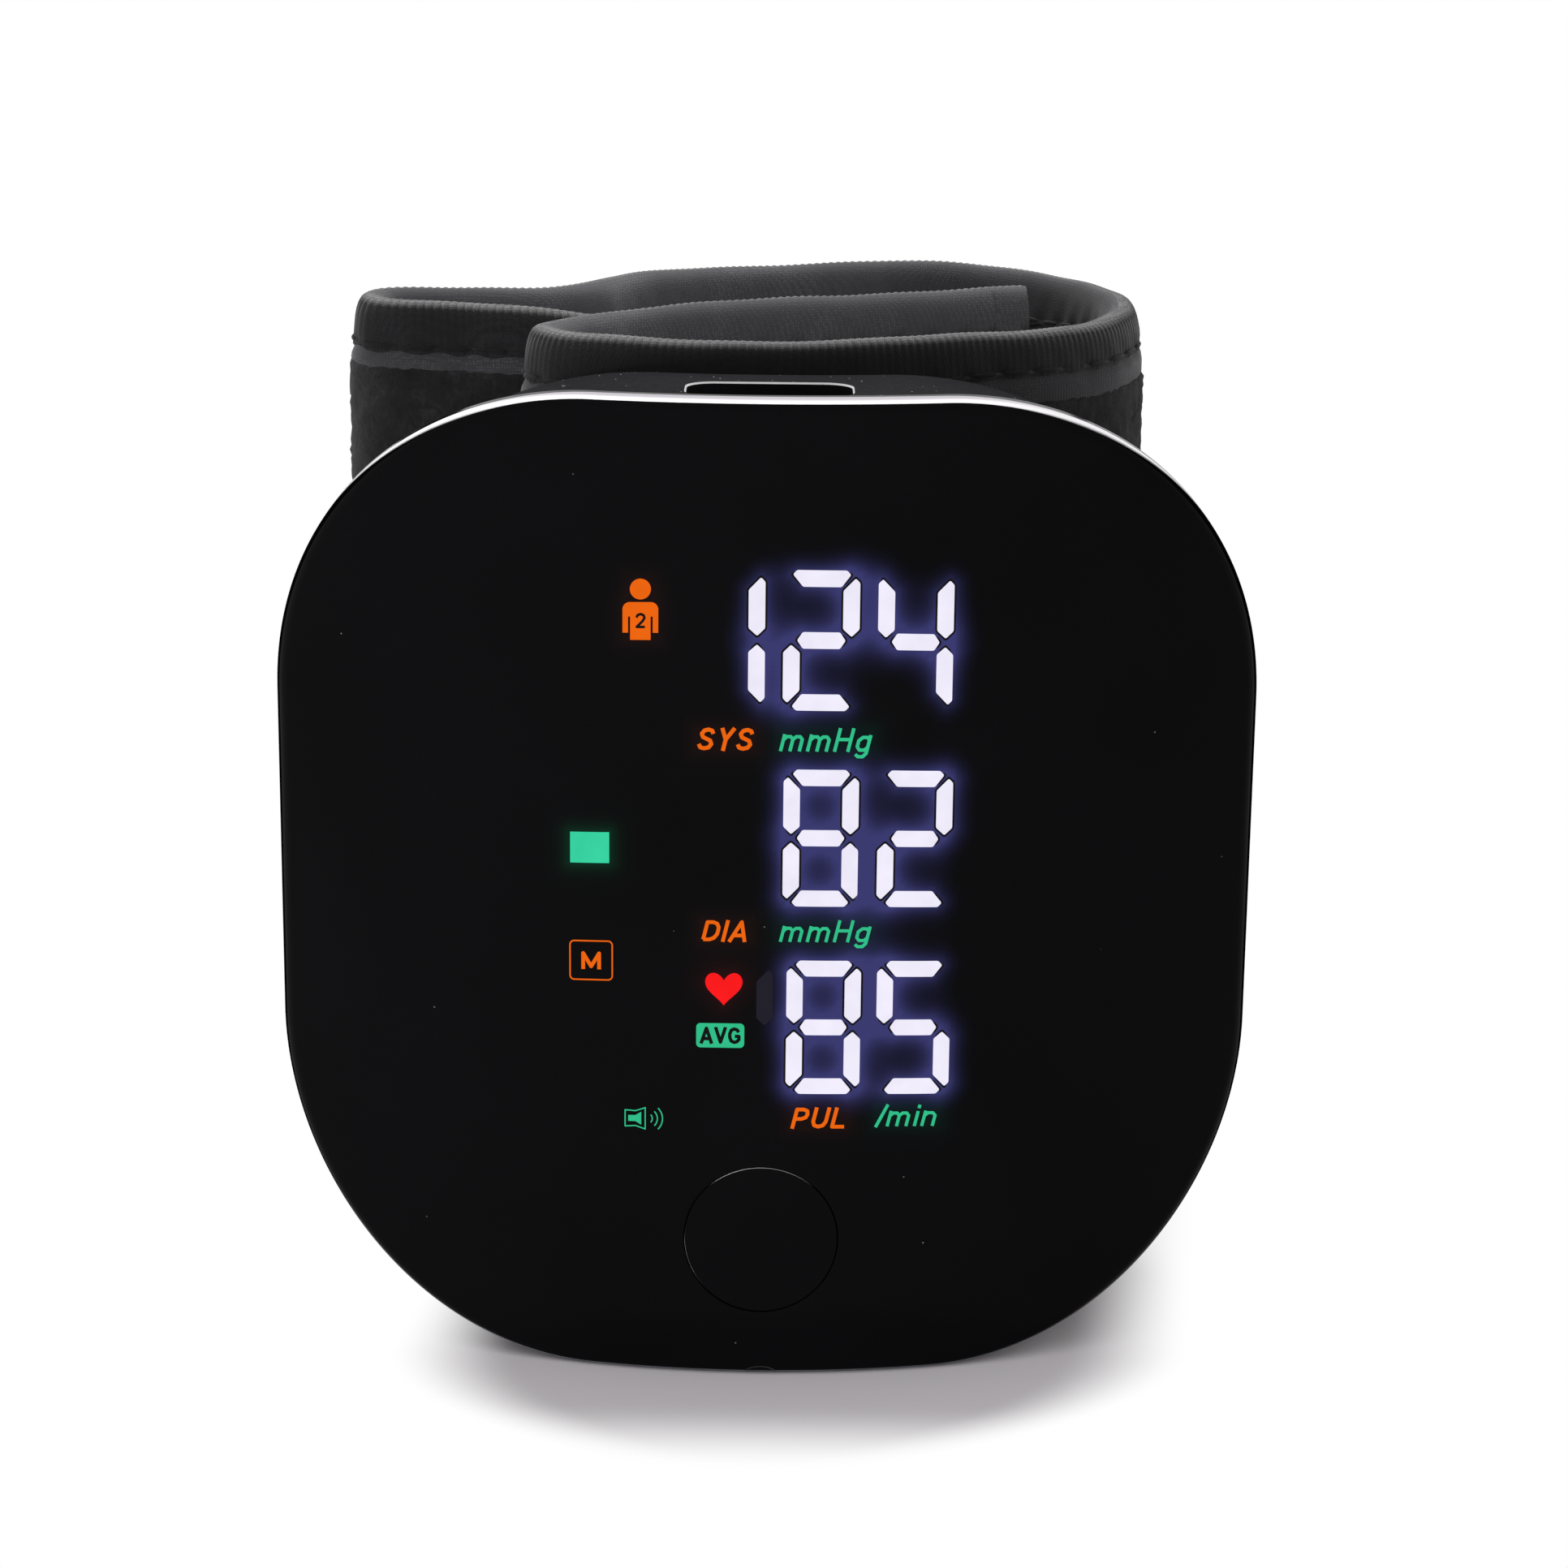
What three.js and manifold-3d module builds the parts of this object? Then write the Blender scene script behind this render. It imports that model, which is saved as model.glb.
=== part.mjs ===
// Wrist blood pressure monitor: a curved monitor on a wrap-round fabric cuff.
// Millimetres, +Z up, face towards -Y. The origin lies under the middle of the object.
import * as THREE from "three";
import { mergeVertices } from "three/addons/utils/BufferGeometryUtils.js";
import Module from "manifold-3d";

const wasm = await Module();
wasm.setup();

// Face and lens
const FACE_WIDTH = 70;
const FACE_HEIGHT = 70;
const FACE_CORNER = 23;
const FACE_RADIUS = 56;
const LENS_THICKNESS = 2.4;
const LENS_EDGE_ROUND = 0.9;

// Case shells
const CASE_SIDE_INSET = 1.5;
const CASE_END_INSET = 1;
const CASE_CORNER = 25;
const REAR_RADIUS = 52;
const REAR_EDGE_ROUND = 2.4;
const WALL = 1.8;
const FRONT_PLATE = 2;
const LIP_THICKNESS = 1.2;
const LIP_HEIGHT = 1.8;

// Fits
const FIT_GAP = 0.3;
const ADHESIVE = 0.5;
const SLIDE_GAP = 0.15;

// Display, board and battery
const DISPLAY_WIDTH = 30;
const DISPLAY_THICKNESS = 3.2;
const DISPLAY_TOP_ROOM = 9.6;
const DISPLAY_BUTTON_ROOM = 0.7;
const DISPLAY_FRAME = 1.2;
const DISPLAY_FRAME_STEP = 0.4;
const BOARD_WIDTH = 34;
const BOARD_END_ROOM = 5;
const BOARD_THICKNESS = 1.2;
const BOARD_CORNER = 4;
const BATTERY_WIDTH = 26;
const BATTERY_HEIGHT = 28;
const BATTERY_THICKNESS = 5.6;
const BATTERY_CLEARANCE = 1.4;
const BATTERY_EDGE_ROUND = 1.4;

// Start button and its switch
const BUTTON_DIAMETER = 10.8;
const BUTTON_RISE = 10.3;
const BUTTON_TRAVEL = 0.5;
const BUTTON_FLANGE = 1;
const BUTTON_FLANGE_THICKNESS = 0.6;
const SWITCH_SIZE = 5;
const SWITCH_HEIGHT = 1.1;
const SWITCH_CORNER = 0.6;
const SWITCH_STEM_DIAMETER = 2.4;

// Charging socket and its well in the top wall
const WELL_WIDTH = 12.5;
const WELL_LENGTH = 6.2;
const WELL_DEPTH = 5.6;
const WELL_CORNER = 2;
const WELL_WALL = 1.2;
const SOCKET_WIDTH = 8.9;
const SOCKET_HEIGHT = 3.2;
const SOCKET_LENGTH = 7.4;
const SOCKET_WALL = 0.3;
const SOCKET_ROUND = 1.4;
const TONGUE_WIDTH = 6.6;
const TONGUE_THICKNESS = 0.7;

// Case screws
const SCREW_SIDE_ROOM = 12.5;
const SCREW_END_ROOM = 12;
const SCREW_DIAMETER = 2;
const SCREW_LENGTH = 7;
const SCREW_HEAD_DIAMETER = 4.2;
const SCREW_HEAD_HEIGHT = 1.5;
const SCREW_TAPER = 0.6;
const SCREW_SEAT_DEPTH = 2.6;
const SCREW_SEAT_WALL = 1.6;
const BOSS_DIAMETER = 5.6;
const COLLAR_WALL = 1.2;

// Air system
const PUMP_SIDE_ROOM = 11.5;
const PUMP_DIAMETER = 11.6;
const PUMP_ROOM = 0.55;
const PUMP_HEAD_BOTTOM = -16;
const PUMP_HEAD_LENGTH = 11;
const PUMP_MOTOR_LENGTH = 17;
const PUMP_MOTOR_STEP = 0.3;
const PUMP_GROOVE = 0.4;
const PUMP_HUB_DIAMETER = 4;
const PUMP_HUB_LENGTH = 1.4;
const VALVE_SIDE_ROOM = 11.5;
const VALVE_DIAMETER = 9;
const VALVE_BOTTOM = -16;
const VALVE_LENGTH = 14;
const NIPPLE_DIAMETER = 2;
const NIPPLE_LENGTH = 1.6;
const TUBE_DIAMETER = 3.6;
const TUBE_BORE = 2.6;
const MANIFOLD_WIDTH = 8;
const MANIFOLD_LENGTH = 5;
const MANIFOLD_HEIGHT = 7;
const SENSOR_WIDTH = 5;
const SENSOR_HEIGHT = 5.6;
const SENSOR_THICKNESS = 3;
const SENSOR_OFFSET = 12.7;
const SENSOR_Z = -25;
const NOZZLE_Z = -20;
const NOZZLE_DIAMETER = 4;
const NOZZLE_BORE = 2;
const NOZZLE_SOCKET = 3;

// Speaker
const SPEAKER_SIDE_ROOM = 10.5;
const SPEAKER_RISE = 0.5;
const SPEAKER_WIDTH = 10;
const SPEAKER_HEIGHT = 15;
const SPEAKER_THICKNESS = 3.6;
const SOUND_SLOT_COUNT = 4;
const SOUND_SLOT_PITCH = 2.4;
const SOUND_SLOT_WIDTH = 1;
const SOUND_SLOT_LENGTH = 6;

// Frame that clips the cuff to the case
const MOUNT_WIDTH = 15;
const MOUNT_HEIGHT = 32;
const MOUNT_CENTRE_Z = 4;
const MOUNT_CORNER = 3;
const MOUNT_THICKNESS = 1.3;
const MOUNT_POCKET_DEPTH = 0.9;
const MOUNT_WINDOW_MARGIN = 3;
const HOOK_WIDTH = 7;
const HOOK_THICKNESS = 1.4;
const HOOK_PITCH = 25;
const HOOK_BARB = 0.7;
const HOOK_BARB_LENGTH = 1;

// Cuff sandwich and edge tape
const CUFF_RISE = 0.6;
const LAYER_GAP = 0.2;
const OUTER_FABRIC = 0.6;
const STIFFENER = 0.5;
const BLADDER = 0.6;
const LINING = 0.5;
const STRAP_LINING = 0.6;
const TAPE_WALL = 0.4;
const TAPE_HEIGHT = 3.2;
const BLADDER_MARGIN = 8;
const STIFFENER_MARGIN = 6;
const HOOK_PATCH = 0.6;
const LOOP_PATCH = 0.4;
const PATCH_MARGIN = 9;
const HINGE_GAP = 0.3;

// Plan route of the cuff's middle line, from its inner end round the left fold to the strap hinge.
// The second number is the depth behind the point where the cuff meets the monitor.
const SHORT_WING_ROUTE = [
  [20, 32.7], [13.5, 29.7], [6.5, 26.7], [0, 24], [-6, 21.2], [-11.5, 17.5], [-15.6, 13.1], [-17, 8.7],
  [-15.2, 4.9], [-11.4, 2.2], [-6.5, 0.5], [-1, 0], [4.5, 0.9], [9.5, 3.1], [14.2, 5.7], [18.8, 8.7],
  [22.6, 12.5], [25.6, 17.3],
];
const CUFF_CLEARANCE = 0.5;

// The strap goes on from the hinge round the far wall to a folded end on the left. Its tail then lies
// along the outer side of the short wing.
const FAR_WALL_ROUTE = [
  [27.3, 22.7], [27.4, 28.5], [26, 33.9], [23.5, 39.1], [19.8, 43.7], [15.2, 47.3], [9.8, 49.1], [4, 48.5],
  [-1.5, 46.9], [-6.3, 44.3], [-10.2, 40.7], [-13, 36.5], [-15.2, 32.3], [-18.6, 29.9],
];
const FOLD_CENTRE = [-28.6, 26.2];
const FOLD_OPENING = 1;
const FOLD_LEAD = 4.6;
const TAIL_FIRST_INDEX = 2;
const TAIL_POINT_COUNT = 3;
const TAIL_CLEARANCE = 0.8;

// Facet counts
const CORNER_STEPS = 6;
const EDGE_STEPS = 3;
const ROUND_STEPS = 2;
const SKIN_RINGS = 3;
const ROUND_SIDES = 16;
const SCREW_SIDES = 10;
const TUBE_SIDES = 8;
const TUBE_STEPS = 6;
const ROUTE_STEPS = 2;
const FOLD_STEPS = 4;

// Worked-out places in the monitor: depths are measured back from the front of the face
const PLATE_FRONT = LENS_THICKNESS + ADHESIVE;
const PLATE_BACK = PLATE_FRONT + FRONT_PLATE;
const PARTING = PLATE_BACK + SLIDE_GAP;
const CASE_HALF_WIDTH = FACE_WIDTH / 2 - CASE_SIDE_INSET;
const CASE_HALF_HEIGHT = FACE_HEIGHT / 2 - CASE_END_INSET;
const BUTTON_Z = BUTTON_RISE - FACE_HEIGHT / 2;
const PUMP_X = CASE_HALF_WIDTH - PUMP_SIDE_ROOM;
const VALVE_X = VALVE_SIDE_ROOM - CASE_HALF_WIDTH;
const SPEAKER_X = SPEAKER_SIDE_ROOM - CASE_HALF_WIDTH;
const SPEAKER_Z = CASE_HALF_HEIGHT - CASE_CORNER + SPEAKER_RISE;
const SCREW_X = CASE_HALF_WIDTH - SCREW_SIDE_ROOM;
const SCREW_Z = CASE_HALF_HEIGHT - SCREW_END_ROOM;

// The pump lies between the front plate and the rear wall, so it sets the depth of the case
const PUMP_REACH = PUMP_DIAMETER / 2 + PUMP_ROOM;
const PUMP_Y = PLATE_BACK + FACE_RADIUS - Math.sqrt((FACE_RADIUS - PUMP_REACH) ** 2 - PUMP_X ** 2);
const REAR_INSIDE = PUMP_Y - REAR_RADIUS + Math.sqrt((REAR_RADIUS + PUMP_REACH) ** 2 - PUMP_X ** 2);
const CASE_DEPTH = REAR_INSIDE + WALL;
const frontSag = (x) => FACE_RADIUS - Math.sqrt(FACE_RADIUS ** 2 - x ** 2);
const rearSag = (x) => REAR_RADIUS - Math.sqrt(REAR_RADIUS ** 2 - x ** 2);
const DISPLAY_FRONT = LENS_THICKNESS + frontSag(DISPLAY_WIDTH / 2) + FIT_GAP;
const FLANGE_DIAMETER = BUTTON_DIAMETER + 2 * BUTTON_FLANGE;
const DISPLAY_TOP = CASE_HALF_HEIGHT - DISPLAY_TOP_ROOM;
const DISPLAY_BOTTOM = BUTTON_Z + FLANGE_DIAMETER / 2 + DISPLAY_BUTTON_ROOM;
const DISPLAY_HEIGHT = DISPLAY_TOP - DISPLAY_BOTTOM;
const DISPLAY_CENTRE_Z = (DISPLAY_TOP + DISPLAY_BOTTOM) / 2;
const FLANGE_FRONT = PLATE_BACK + frontSag(FLANGE_DIAMETER / 2) + FIT_GAP;
const FLANGE_BACK = FLANGE_FRONT + BUTTON_FLANGE_THICKNESS;
const SWITCH_STACK = FLANGE_BACK + BUTTON_TRAVEL + FIT_GAP + SWITCH_HEIGHT;
const BOARD_FRONT = Math.max(DISPLAY_FRONT + DISPLAY_THICKNESS, SWITCH_STACK) + FIT_GAP;
const BOARD_BACK = BOARD_FRONT + BOARD_THICKNESS;
const SOCKET_Y = BOARD_BACK + FIT_GAP + SOCKET_HEIGHT / 2;
const WELL_FLOOR = CASE_HALF_HEIGHT - WELL_DEPTH;
const BOARD_BOTTOM = BOARD_END_ROOM - CASE_HALF_HEIGHT;
const BOARD_TOP = WELL_FLOOR - WELL_WALL - 2 * FIT_GAP;
const BATTERY_TOP = WELL_FLOOR - SOCKET_LENGTH - BATTERY_CLEARANCE;
const SCREW_REAR = CASE_DEPTH + rearSag(SCREW_X);
const SCREW_SEAT = SCREW_REAR - SCREW_SEAT_DEPTH;
const BOSS_END = SCREW_SEAT - SCREW_SEAT_WALL - FIT_GAP;
const SWITCH_FRONT = BOARD_FRONT - FIT_GAP - SWITCH_HEIGHT;
const STEM_FRONT = FLANGE_BACK + SLIDE_GAP;
const MOUNT_FRONT = CASE_DEPTH - MOUNT_POCKET_DEPTH + FIT_GAP;
const CUFF_BOTTOM = -FACE_HEIGHT / 2;
const CUFF_HEIGHT = FACE_HEIGHT + CUFF_RISE;

// Worked-out cuff sandwich, measured outwards from the middle line
const SANDWICH = OUTER_FABRIC + STIFFENER + BLADDER + LINING + 3 * LAYER_GAP;
const OUTER_FACE = SANDWICH / 2;
const STIFFENER_FACE = OUTER_FACE - OUTER_FABRIC - LAYER_GAP;
const BLADDER_FACE = STIFFENER_FACE - STIFFENER - LAYER_GAP;
const LINING_FACE = BLADDER_FACE - BLADDER - LAYER_GAP;
const TAPE_FACE = OUTER_FACE + LAYER_GAP + TAPE_WALL;
const WALL_MIDDLE = CASE_DEPTH + CUFF_CLEARANCE + TAPE_FACE;
const FOLD_RADIUS = TAPE_FACE + FOLD_OPENING;
const TAIL_SPACING = 2 * TAPE_FACE + HOOK_PATCH + TAIL_CLEARANCE;

// The cuff meets the monitor at the foremost point of its route, and the nozzle goes through there
const [NOZZLE_X] = SHORT_WING_ROUTE.reduce((first, point) => (point[1] < first[1] ? point : first));
const SENSOR_X = NOZZLE_X + SENSOR_OFFSET;

// Materials
const finish = (color, roughness, metalness = 0) =>
  new THREE.MeshStandardMaterial({ color, roughness, metalness });
const LENS_BLACK = finish(0x0c0c0d, 0.06);
const CASE_GREY = finish(0x2c2c2f, 0.7);
const BUTTON_BLACK = finish(0x101011, 0.2);
const BOARD_GREEN = finish(0x1d4a2c, 0.5);
const COMPONENT_BLACK = finish(0x17171a, 0.5);
const BATTERY_SILVER = finish(0xb4b7bc, 0.4);
const STEEL = finish(0xb9bcc0, 0.3, 1);
const TUBE_CLEAR = finish(0xc9c9c4, 0.4);
const FITTING_WHITE = finish(0xd8d8d4, 0.5);
const FABRIC_BLACK = finish(0x242428, 0.95);
const LINING_GREY = finish(0x4a4a50, 0.9);
const TAPE_BLACK = finish(0x3a3a3e, 0.9);
const BLADDER_GREY = finish(0x5b5f66, 0.6);

// Solid helpers
function toSolid(geometry) {
  geometry.deleteAttribute("normal");
  geometry.deleteAttribute("uv");
  const merged = mergeVertices(geometry, 1e-4);
  const vertProperties = new Float32Array(merged.attributes.position.array);
  const triVerts = new Uint32Array(merged.index.array);
  return new wasm.Manifold(new wasm.Mesh({ numProp: 3, vertProperties, triVerts }));
}

function toGeometry(solid) {
  const mesh = solid.getMesh();
  const geometry = new THREE.BufferGeometry();
  geometry.setAttribute("position", new THREE.BufferAttribute(mesh.vertProperties, 3));
  geometry.setIndex(new THREE.BufferAttribute(mesh.triVerts, 1));
  return geometry;
}

function block(width, length, height, x, y, z) {
  return toSolid(new THREE.BoxGeometry(width, length, height).translate(x, y, z));
}

function rodY(diameter, yFrom, yTo, x, z, sides = ROUND_SIDES) {
  const rod = new THREE.CylinderGeometry(diameter / 2, diameter / 2, yTo - yFrom, sides);
  return toSolid(rod.translate(x, (yFrom + yTo) / 2, z));
}

function rodZ(diameter, zFrom, zTo, x, y) {
  const rod = new THREE.CylinderGeometry(diameter / 2, diameter / 2, zTo - zFrom, ROUND_SIDES);
  return toSolid(rod.rotateX(Math.PI / 2).translate(x, y, (zFrom + zTo) / 2));
}

function rodX(diameter, xFrom, xTo, y, z) {
  const rod = new THREE.CylinderGeometry(diameter / 2, diameter / 2, xTo - xFrom, ROUND_SIDES);
  return toSolid(rod.rotateZ(Math.PI / 2).translate((xFrom + xTo) / 2, y, z));
}

function roundedShape(width, height, corner) {
  const shape = new THREE.Shape();
  const x = width / 2;
  const y = height / 2;
  shape.moveTo(-x + corner, -y);
  shape.lineTo(x - corner, -y);
  shape.absarc(x - corner, -y + corner, corner, -Math.PI / 2, 0);
  shape.lineTo(x, y - corner);
  shape.absarc(x - corner, y - corner, corner, 0, Math.PI / 2);
  shape.lineTo(-x + corner, y);
  shape.absarc(-x + corner, y - corner, corner, Math.PI / 2, Math.PI);
  shape.lineTo(-x, -y + corner);
  shape.absarc(-x + corner, -y + corner, corner, Math.PI, 1.5 * Math.PI);
  return shape;
}

// A rounded plate that lies across Y, or a rounded post that stands along Z
function plateY(width, height, corner, yFrom, yTo, x, z) {
  const settings = { depth: yTo - yFrom, bevelEnabled: false, curveSegments: 4 };
  const plate = new THREE.ExtrudeGeometry(roundedShape(width, height, corner), settings);
  return toSolid(plate.rotateX(Math.PI / 2).translate(x, yTo, z));
}

function postZ(width, length, corner, zFrom, zTo, x, y) {
  const settings = { depth: zTo - zFrom, bevelEnabled: false, curveSegments: 4 };
  const post = new THREE.ExtrudeGeometry(roundedShape(width, length, corner), settings);
  return toSolid(post.translate(x, y, zFrom));
}

// Closed surface through rings of equal count, with a fan at each end
function loft(rings) {
  const count = rings[0].length;
  const centre = (ring) => ring
    .reduce((sum, point) => sum.add(point), new THREE.Vector3())
    .divideScalar(count);
  const positions = [];
  const triangle = (a, b, c) => positions.push(...a, ...b, ...c);
  const first = rings[0];
  const last = rings[rings.length - 1];
  const firstCentre = centre(first);
  const lastCentre = centre(last);
  for (let i = 0; i < count; i += 1) {
    const j = (i + 1) % count;
    triangle(firstCentre, first[i], first[j]);
    for (let k = 0; k + 1 < rings.length; k += 1) {
      triangle(rings[k][i], rings[k + 1][i], rings[k][j]);
      triangle(rings[k][j], rings[k + 1][i], rings[k + 1][j]);
    }
    triangle(lastCentre, last[j], last[i]);
  }
  const geometry = new THREE.BufferGeometry();
  geometry.setAttribute("position", new THREE.Float32BufferAttribute(positions, 3));
  return toSolid(geometry);
}

// Rounded-square outline in the plane of the face, as [x, z] pairs
function faceOutline(halfWidth, halfHeight, corner) {
  const points = [];
  const spanX = halfWidth - corner;
  const spanZ = halfHeight - corner;
  const centres = [[spanX, spanZ], [-spanX, spanZ], [-spanX, -spanZ], [spanX, -spanZ]];
  centres.forEach(([x, z], quarter) => {
    for (let step = 0; step <= CORNER_STEPS; step += 1) {
      const angle = (quarter + step / CORNER_STEPS) * Math.PI / 2;
      points.push([x + corner * Math.cos(angle), z + corner * Math.sin(angle)]);
    }
    const [endX, endZ] = points[points.length - 1];
    const [nextX, nextZ] = centres[(quarter + 1) % 4];
    const turn = (quarter + 1) * Math.PI / 2;
    const startX = nextX + corner * Math.cos(turn);
    const startZ = nextZ + corner * Math.sin(turn);
    for (let step = 1; step < EDGE_STEPS; step += 1) {
      const share = step / EDGE_STEPS;
      points.push([endX + share * (startX - endX), endZ + share * (startZ - endZ)]);
    }
  });
  return points;
}

// Curved slab between a front skin bent like the face and a rear skin with its own bend
function curvedSlab({ halfWidth, halfHeight, corner, front, rear, rearBend, frontRound = 0, rearRound = 0 }) {
  const ring = (inset, scale, depth, bend) =>
    faceOutline(halfWidth - inset, halfHeight - inset, corner - inset)
      .map(([x, z]) => new THREE.Vector3(x * scale, depth + bend(x * scale), z * scale));
  const rings = [];
  const steps = (round) => (round > 0 ? ROUND_STEPS : 0);
  for (let k = 1; k <= SKIN_RINGS; k += 1) {
    rings.push(ring(frontRound, k / (SKIN_RINGS + 1), front, frontSag));
  }
  for (let k = 0; k <= steps(frontRound); k += 1) {
    const angle = steps(frontRound) ? (k / ROUND_STEPS) * Math.PI / 2 : 0;
    const inset = frontRound * (1 - Math.sin(angle));
    rings.push(ring(inset, 1, front + frontRound * (1 - Math.cos(angle)), frontSag));
  }
  for (let k = 0; k <= steps(rearRound); k += 1) {
    const angle = steps(rearRound) ? (k / ROUND_STEPS) * Math.PI / 2 : 0;
    const inset = rearRound * (1 - Math.cos(angle));
    rings.push(ring(inset, 1, rear - rearRound * (1 - Math.sin(angle)), rearBend));
  }
  for (let k = SKIN_RINGS; k >= 1; k -= 1) {
    rings.push(ring(rearRound, k / (SKIN_RINGS + 1), rear, rearBend));
  }
  return loft(rings);
}

// Case slab: the case outline drawn in by an inset
function caseSlab(inset, front, rear, rearBend, rearRound = 0) {
  return curvedSlab({
    halfWidth: CASE_HALF_WIDTH - inset,
    halfHeight: CASE_HALF_HEIGHT - inset,
    corner: CASE_CORNER - inset,
    front,
    rear,
    rearBend,
    rearRound,
  });
}

function screwPlaces() {
  return [[SCREW_X, SCREW_Z], [-SCREW_X, SCREW_Z], [-SCREW_X, -SCREW_Z], [SCREW_X, -SCREW_Z]];
}

// Assembly groups
const object = new THREE.Group();
const monitor = new THREE.Group();
const cuff = new THREE.Group();
object.add(monitor, cuff);

function addPart(group, name, solid, material) {
  const mesh = new THREE.Mesh(toGeometry(solid), material);
  mesh.name = name;
  group.add(mesh);
}

// Front lens, bored for the button
function frontLens() {
  const slab = curvedSlab({
    halfWidth: FACE_WIDTH / 2,
    halfHeight: FACE_HEIGHT / 2,
    corner: FACE_CORNER,
    front: 0,
    rear: LENS_THICKNESS,
    rearBend: frontSag,
    frontRound: LENS_EDGE_ROUND,
  });
  const bore = rodY(BUTTON_DIAMETER + 2 * SLIDE_GAP, -1, CASE_DEPTH, 0, BUTTON_Z);
  return slab.subtract(bore);
}
addPart(monitor, "front_lens", frontLens(), LENS_BLACK);

// Front shell: plate behind the lens, locating lip, window, button bore and four screw bosses
function frontCase() {
  const lipInset = WALL + SLIDE_GAP;
  const join = FRONT_PLATE / 2;
  const lipOuter = caseSlab(lipInset, PLATE_BACK - join, PLATE_BACK + LIP_HEIGHT, frontSag);
  const lipInner = caseSlab(lipInset + LIP_THICKNESS, PLATE_BACK, PLATE_BACK + 2 * LIP_HEIGHT, frontSag);
  let shell = caseSlab(0, PLATE_FRONT, PLATE_BACK, frontSag).add(lipOuter.subtract(lipInner));
  for (const [x, z] of screwPlaces()) {
    const root = PLATE_FRONT + frontSag(SCREW_X) + FRONT_PLATE / 2;
    const pilot = SCREW_DIAMETER + 2 * SLIDE_GAP;
    shell = shell.add(rodY(BOSS_DIAMETER, root, BOSS_END, x, z, SCREW_SIDES));
    shell = shell.subtract(rodY(pilot, BOSS_END - SCREW_LENGTH, BOSS_END + 1, x, z, SCREW_SIDES));
  }
  const windowWidth = DISPLAY_WIDTH + 2 * FIT_GAP;
  const windowHeight = DISPLAY_HEIGHT + 2 * FIT_GAP;
  const window = block(windowWidth, CASE_DEPTH, windowHeight, 0, CASE_DEPTH / 2, DISPLAY_CENTRE_Z);
  const bore = rodY(BUTTON_DIAMETER + 2 * SLIDE_GAP, 0, CASE_DEPTH, 0, BUTTON_Z);
  const flangeRoom = rodY(FLANGE_DIAMETER + 2 * FIT_GAP, FLANGE_FRONT - FIT_GAP, CASE_DEPTH, 0, BUTTON_Z);
  return shell.subtract(window).subtract(bore).subtract(flangeRoom).subtract(chargingWell(FIT_GAP));
}
addPart(monitor, "front_case", frontCase(), CASE_GREY);

// Rear shell: deep tub with the charging well, screw seats, cuff pocket, hook slots and sound slots
function rearCase() {
  const cavity = caseSlab(WALL, PARTING - WALL, REAR_INSIDE, rearSag, REAR_EDGE_ROUND - WALL / 2);
  const outer = caseSlab(0, PARTING, CASE_DEPTH, rearSag, REAR_EDGE_ROUND);
  let tub = outer.subtract(cavity);
  for (const [x, z] of screwPlaces()) {
    const size = SCREW_HEAD_DIAMETER + 2 * FIT_GAP + 2 * COLLAR_WALL;
    const collar = rodY(size, SCREW_SEAT - SCREW_SEAT_WALL, SCREW_SEAT + WALL, x, z, SCREW_SIDES);
    tub = tub.add(collar.intersect(outer));
  }
  for (const [x, z] of screwPlaces()) {
    const seat = SCREW_HEAD_DIAMETER + 2 * FIT_GAP;
    tub = tub.subtract(rodY(seat, SCREW_SEAT, 2 * CASE_DEPTH, x, z, SCREW_SIDES));
    tub = tub.subtract(rodY(SCREW_DIAMETER + 2 * FIT_GAP, BOSS_END, SCREW_SEAT + 1, x, z, SCREW_SIDES));
  }
  tub = tub.add(chargingWell(0).intersect(outer)).subtract(chargingCuts());
  tub = tub.subtract(mountCuts()).subtract(soundSlots());
  const nozzleBore = NOZZLE_DIAMETER + 2 * FIT_GAP;
  return tub.subtract(rodY(nozzleBore, REAR_INSIDE - 1, CASE_DEPTH + 1, NOZZLE_X, NOZZLE_Z));
}

function chargingWell(room) {
  const border = WELL_WALL + room;
  const width = WELL_WIDTH + 2 * border;
  const length = WELL_LENGTH + 2 * border;
  return postZ(width, length, WELL_CORNER + border, WELL_FLOOR - border, CASE_HALF_HEIGHT, 0, SOCKET_Y);
}

function chargingCuts() {
  const mouth = postZ(WELL_WIDTH, WELL_LENGTH, WELL_CORNER, WELL_FLOOR, CASE_HALF_HEIGHT + 1, 0, SOCKET_Y);
  const slotWidth = SOCKET_WIDTH + 2 * SLIDE_GAP;
  const slotLength = SOCKET_HEIGHT + 2 * SLIDE_GAP;
  const slotBottom = WELL_FLOOR - 2 * WELL_WALL;
  const slot = postZ(slotWidth, slotLength, slotLength / 3, slotBottom, WELL_FLOOR + 1, 0, SOCKET_Y);
  return mouth.add(slot);
}

function mountCuts() {
  const width = MOUNT_WIDTH + 2 * FIT_GAP;
  const height = MOUNT_HEIGHT + 2 * FIT_GAP;
  const floor = CASE_DEPTH - MOUNT_POCKET_DEPTH;
  const corner = MOUNT_CORNER + FIT_GAP;
  let cuts = plateY(width, height, corner, floor, CASE_DEPTH + WALL, NOZZLE_X, MOUNT_CENTRE_Z);
  for (const side of [-1, 1]) {
    const z = MOUNT_CENTRE_Z + side * HOOK_PITCH / 2;
    const slotHeight = HOOK_THICKNESS + HOOK_BARB + 2 * FIT_GAP;
    const slotZ = z + side * HOOK_BARB / 2;
    const slotWidth = HOOK_WIDTH + 2 * FIT_GAP;
    cuts = cuts.add(block(slotWidth, 4 * WALL, slotHeight, NOZZLE_X, REAR_INSIDE, slotZ));
  }
  return cuts;
}

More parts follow.
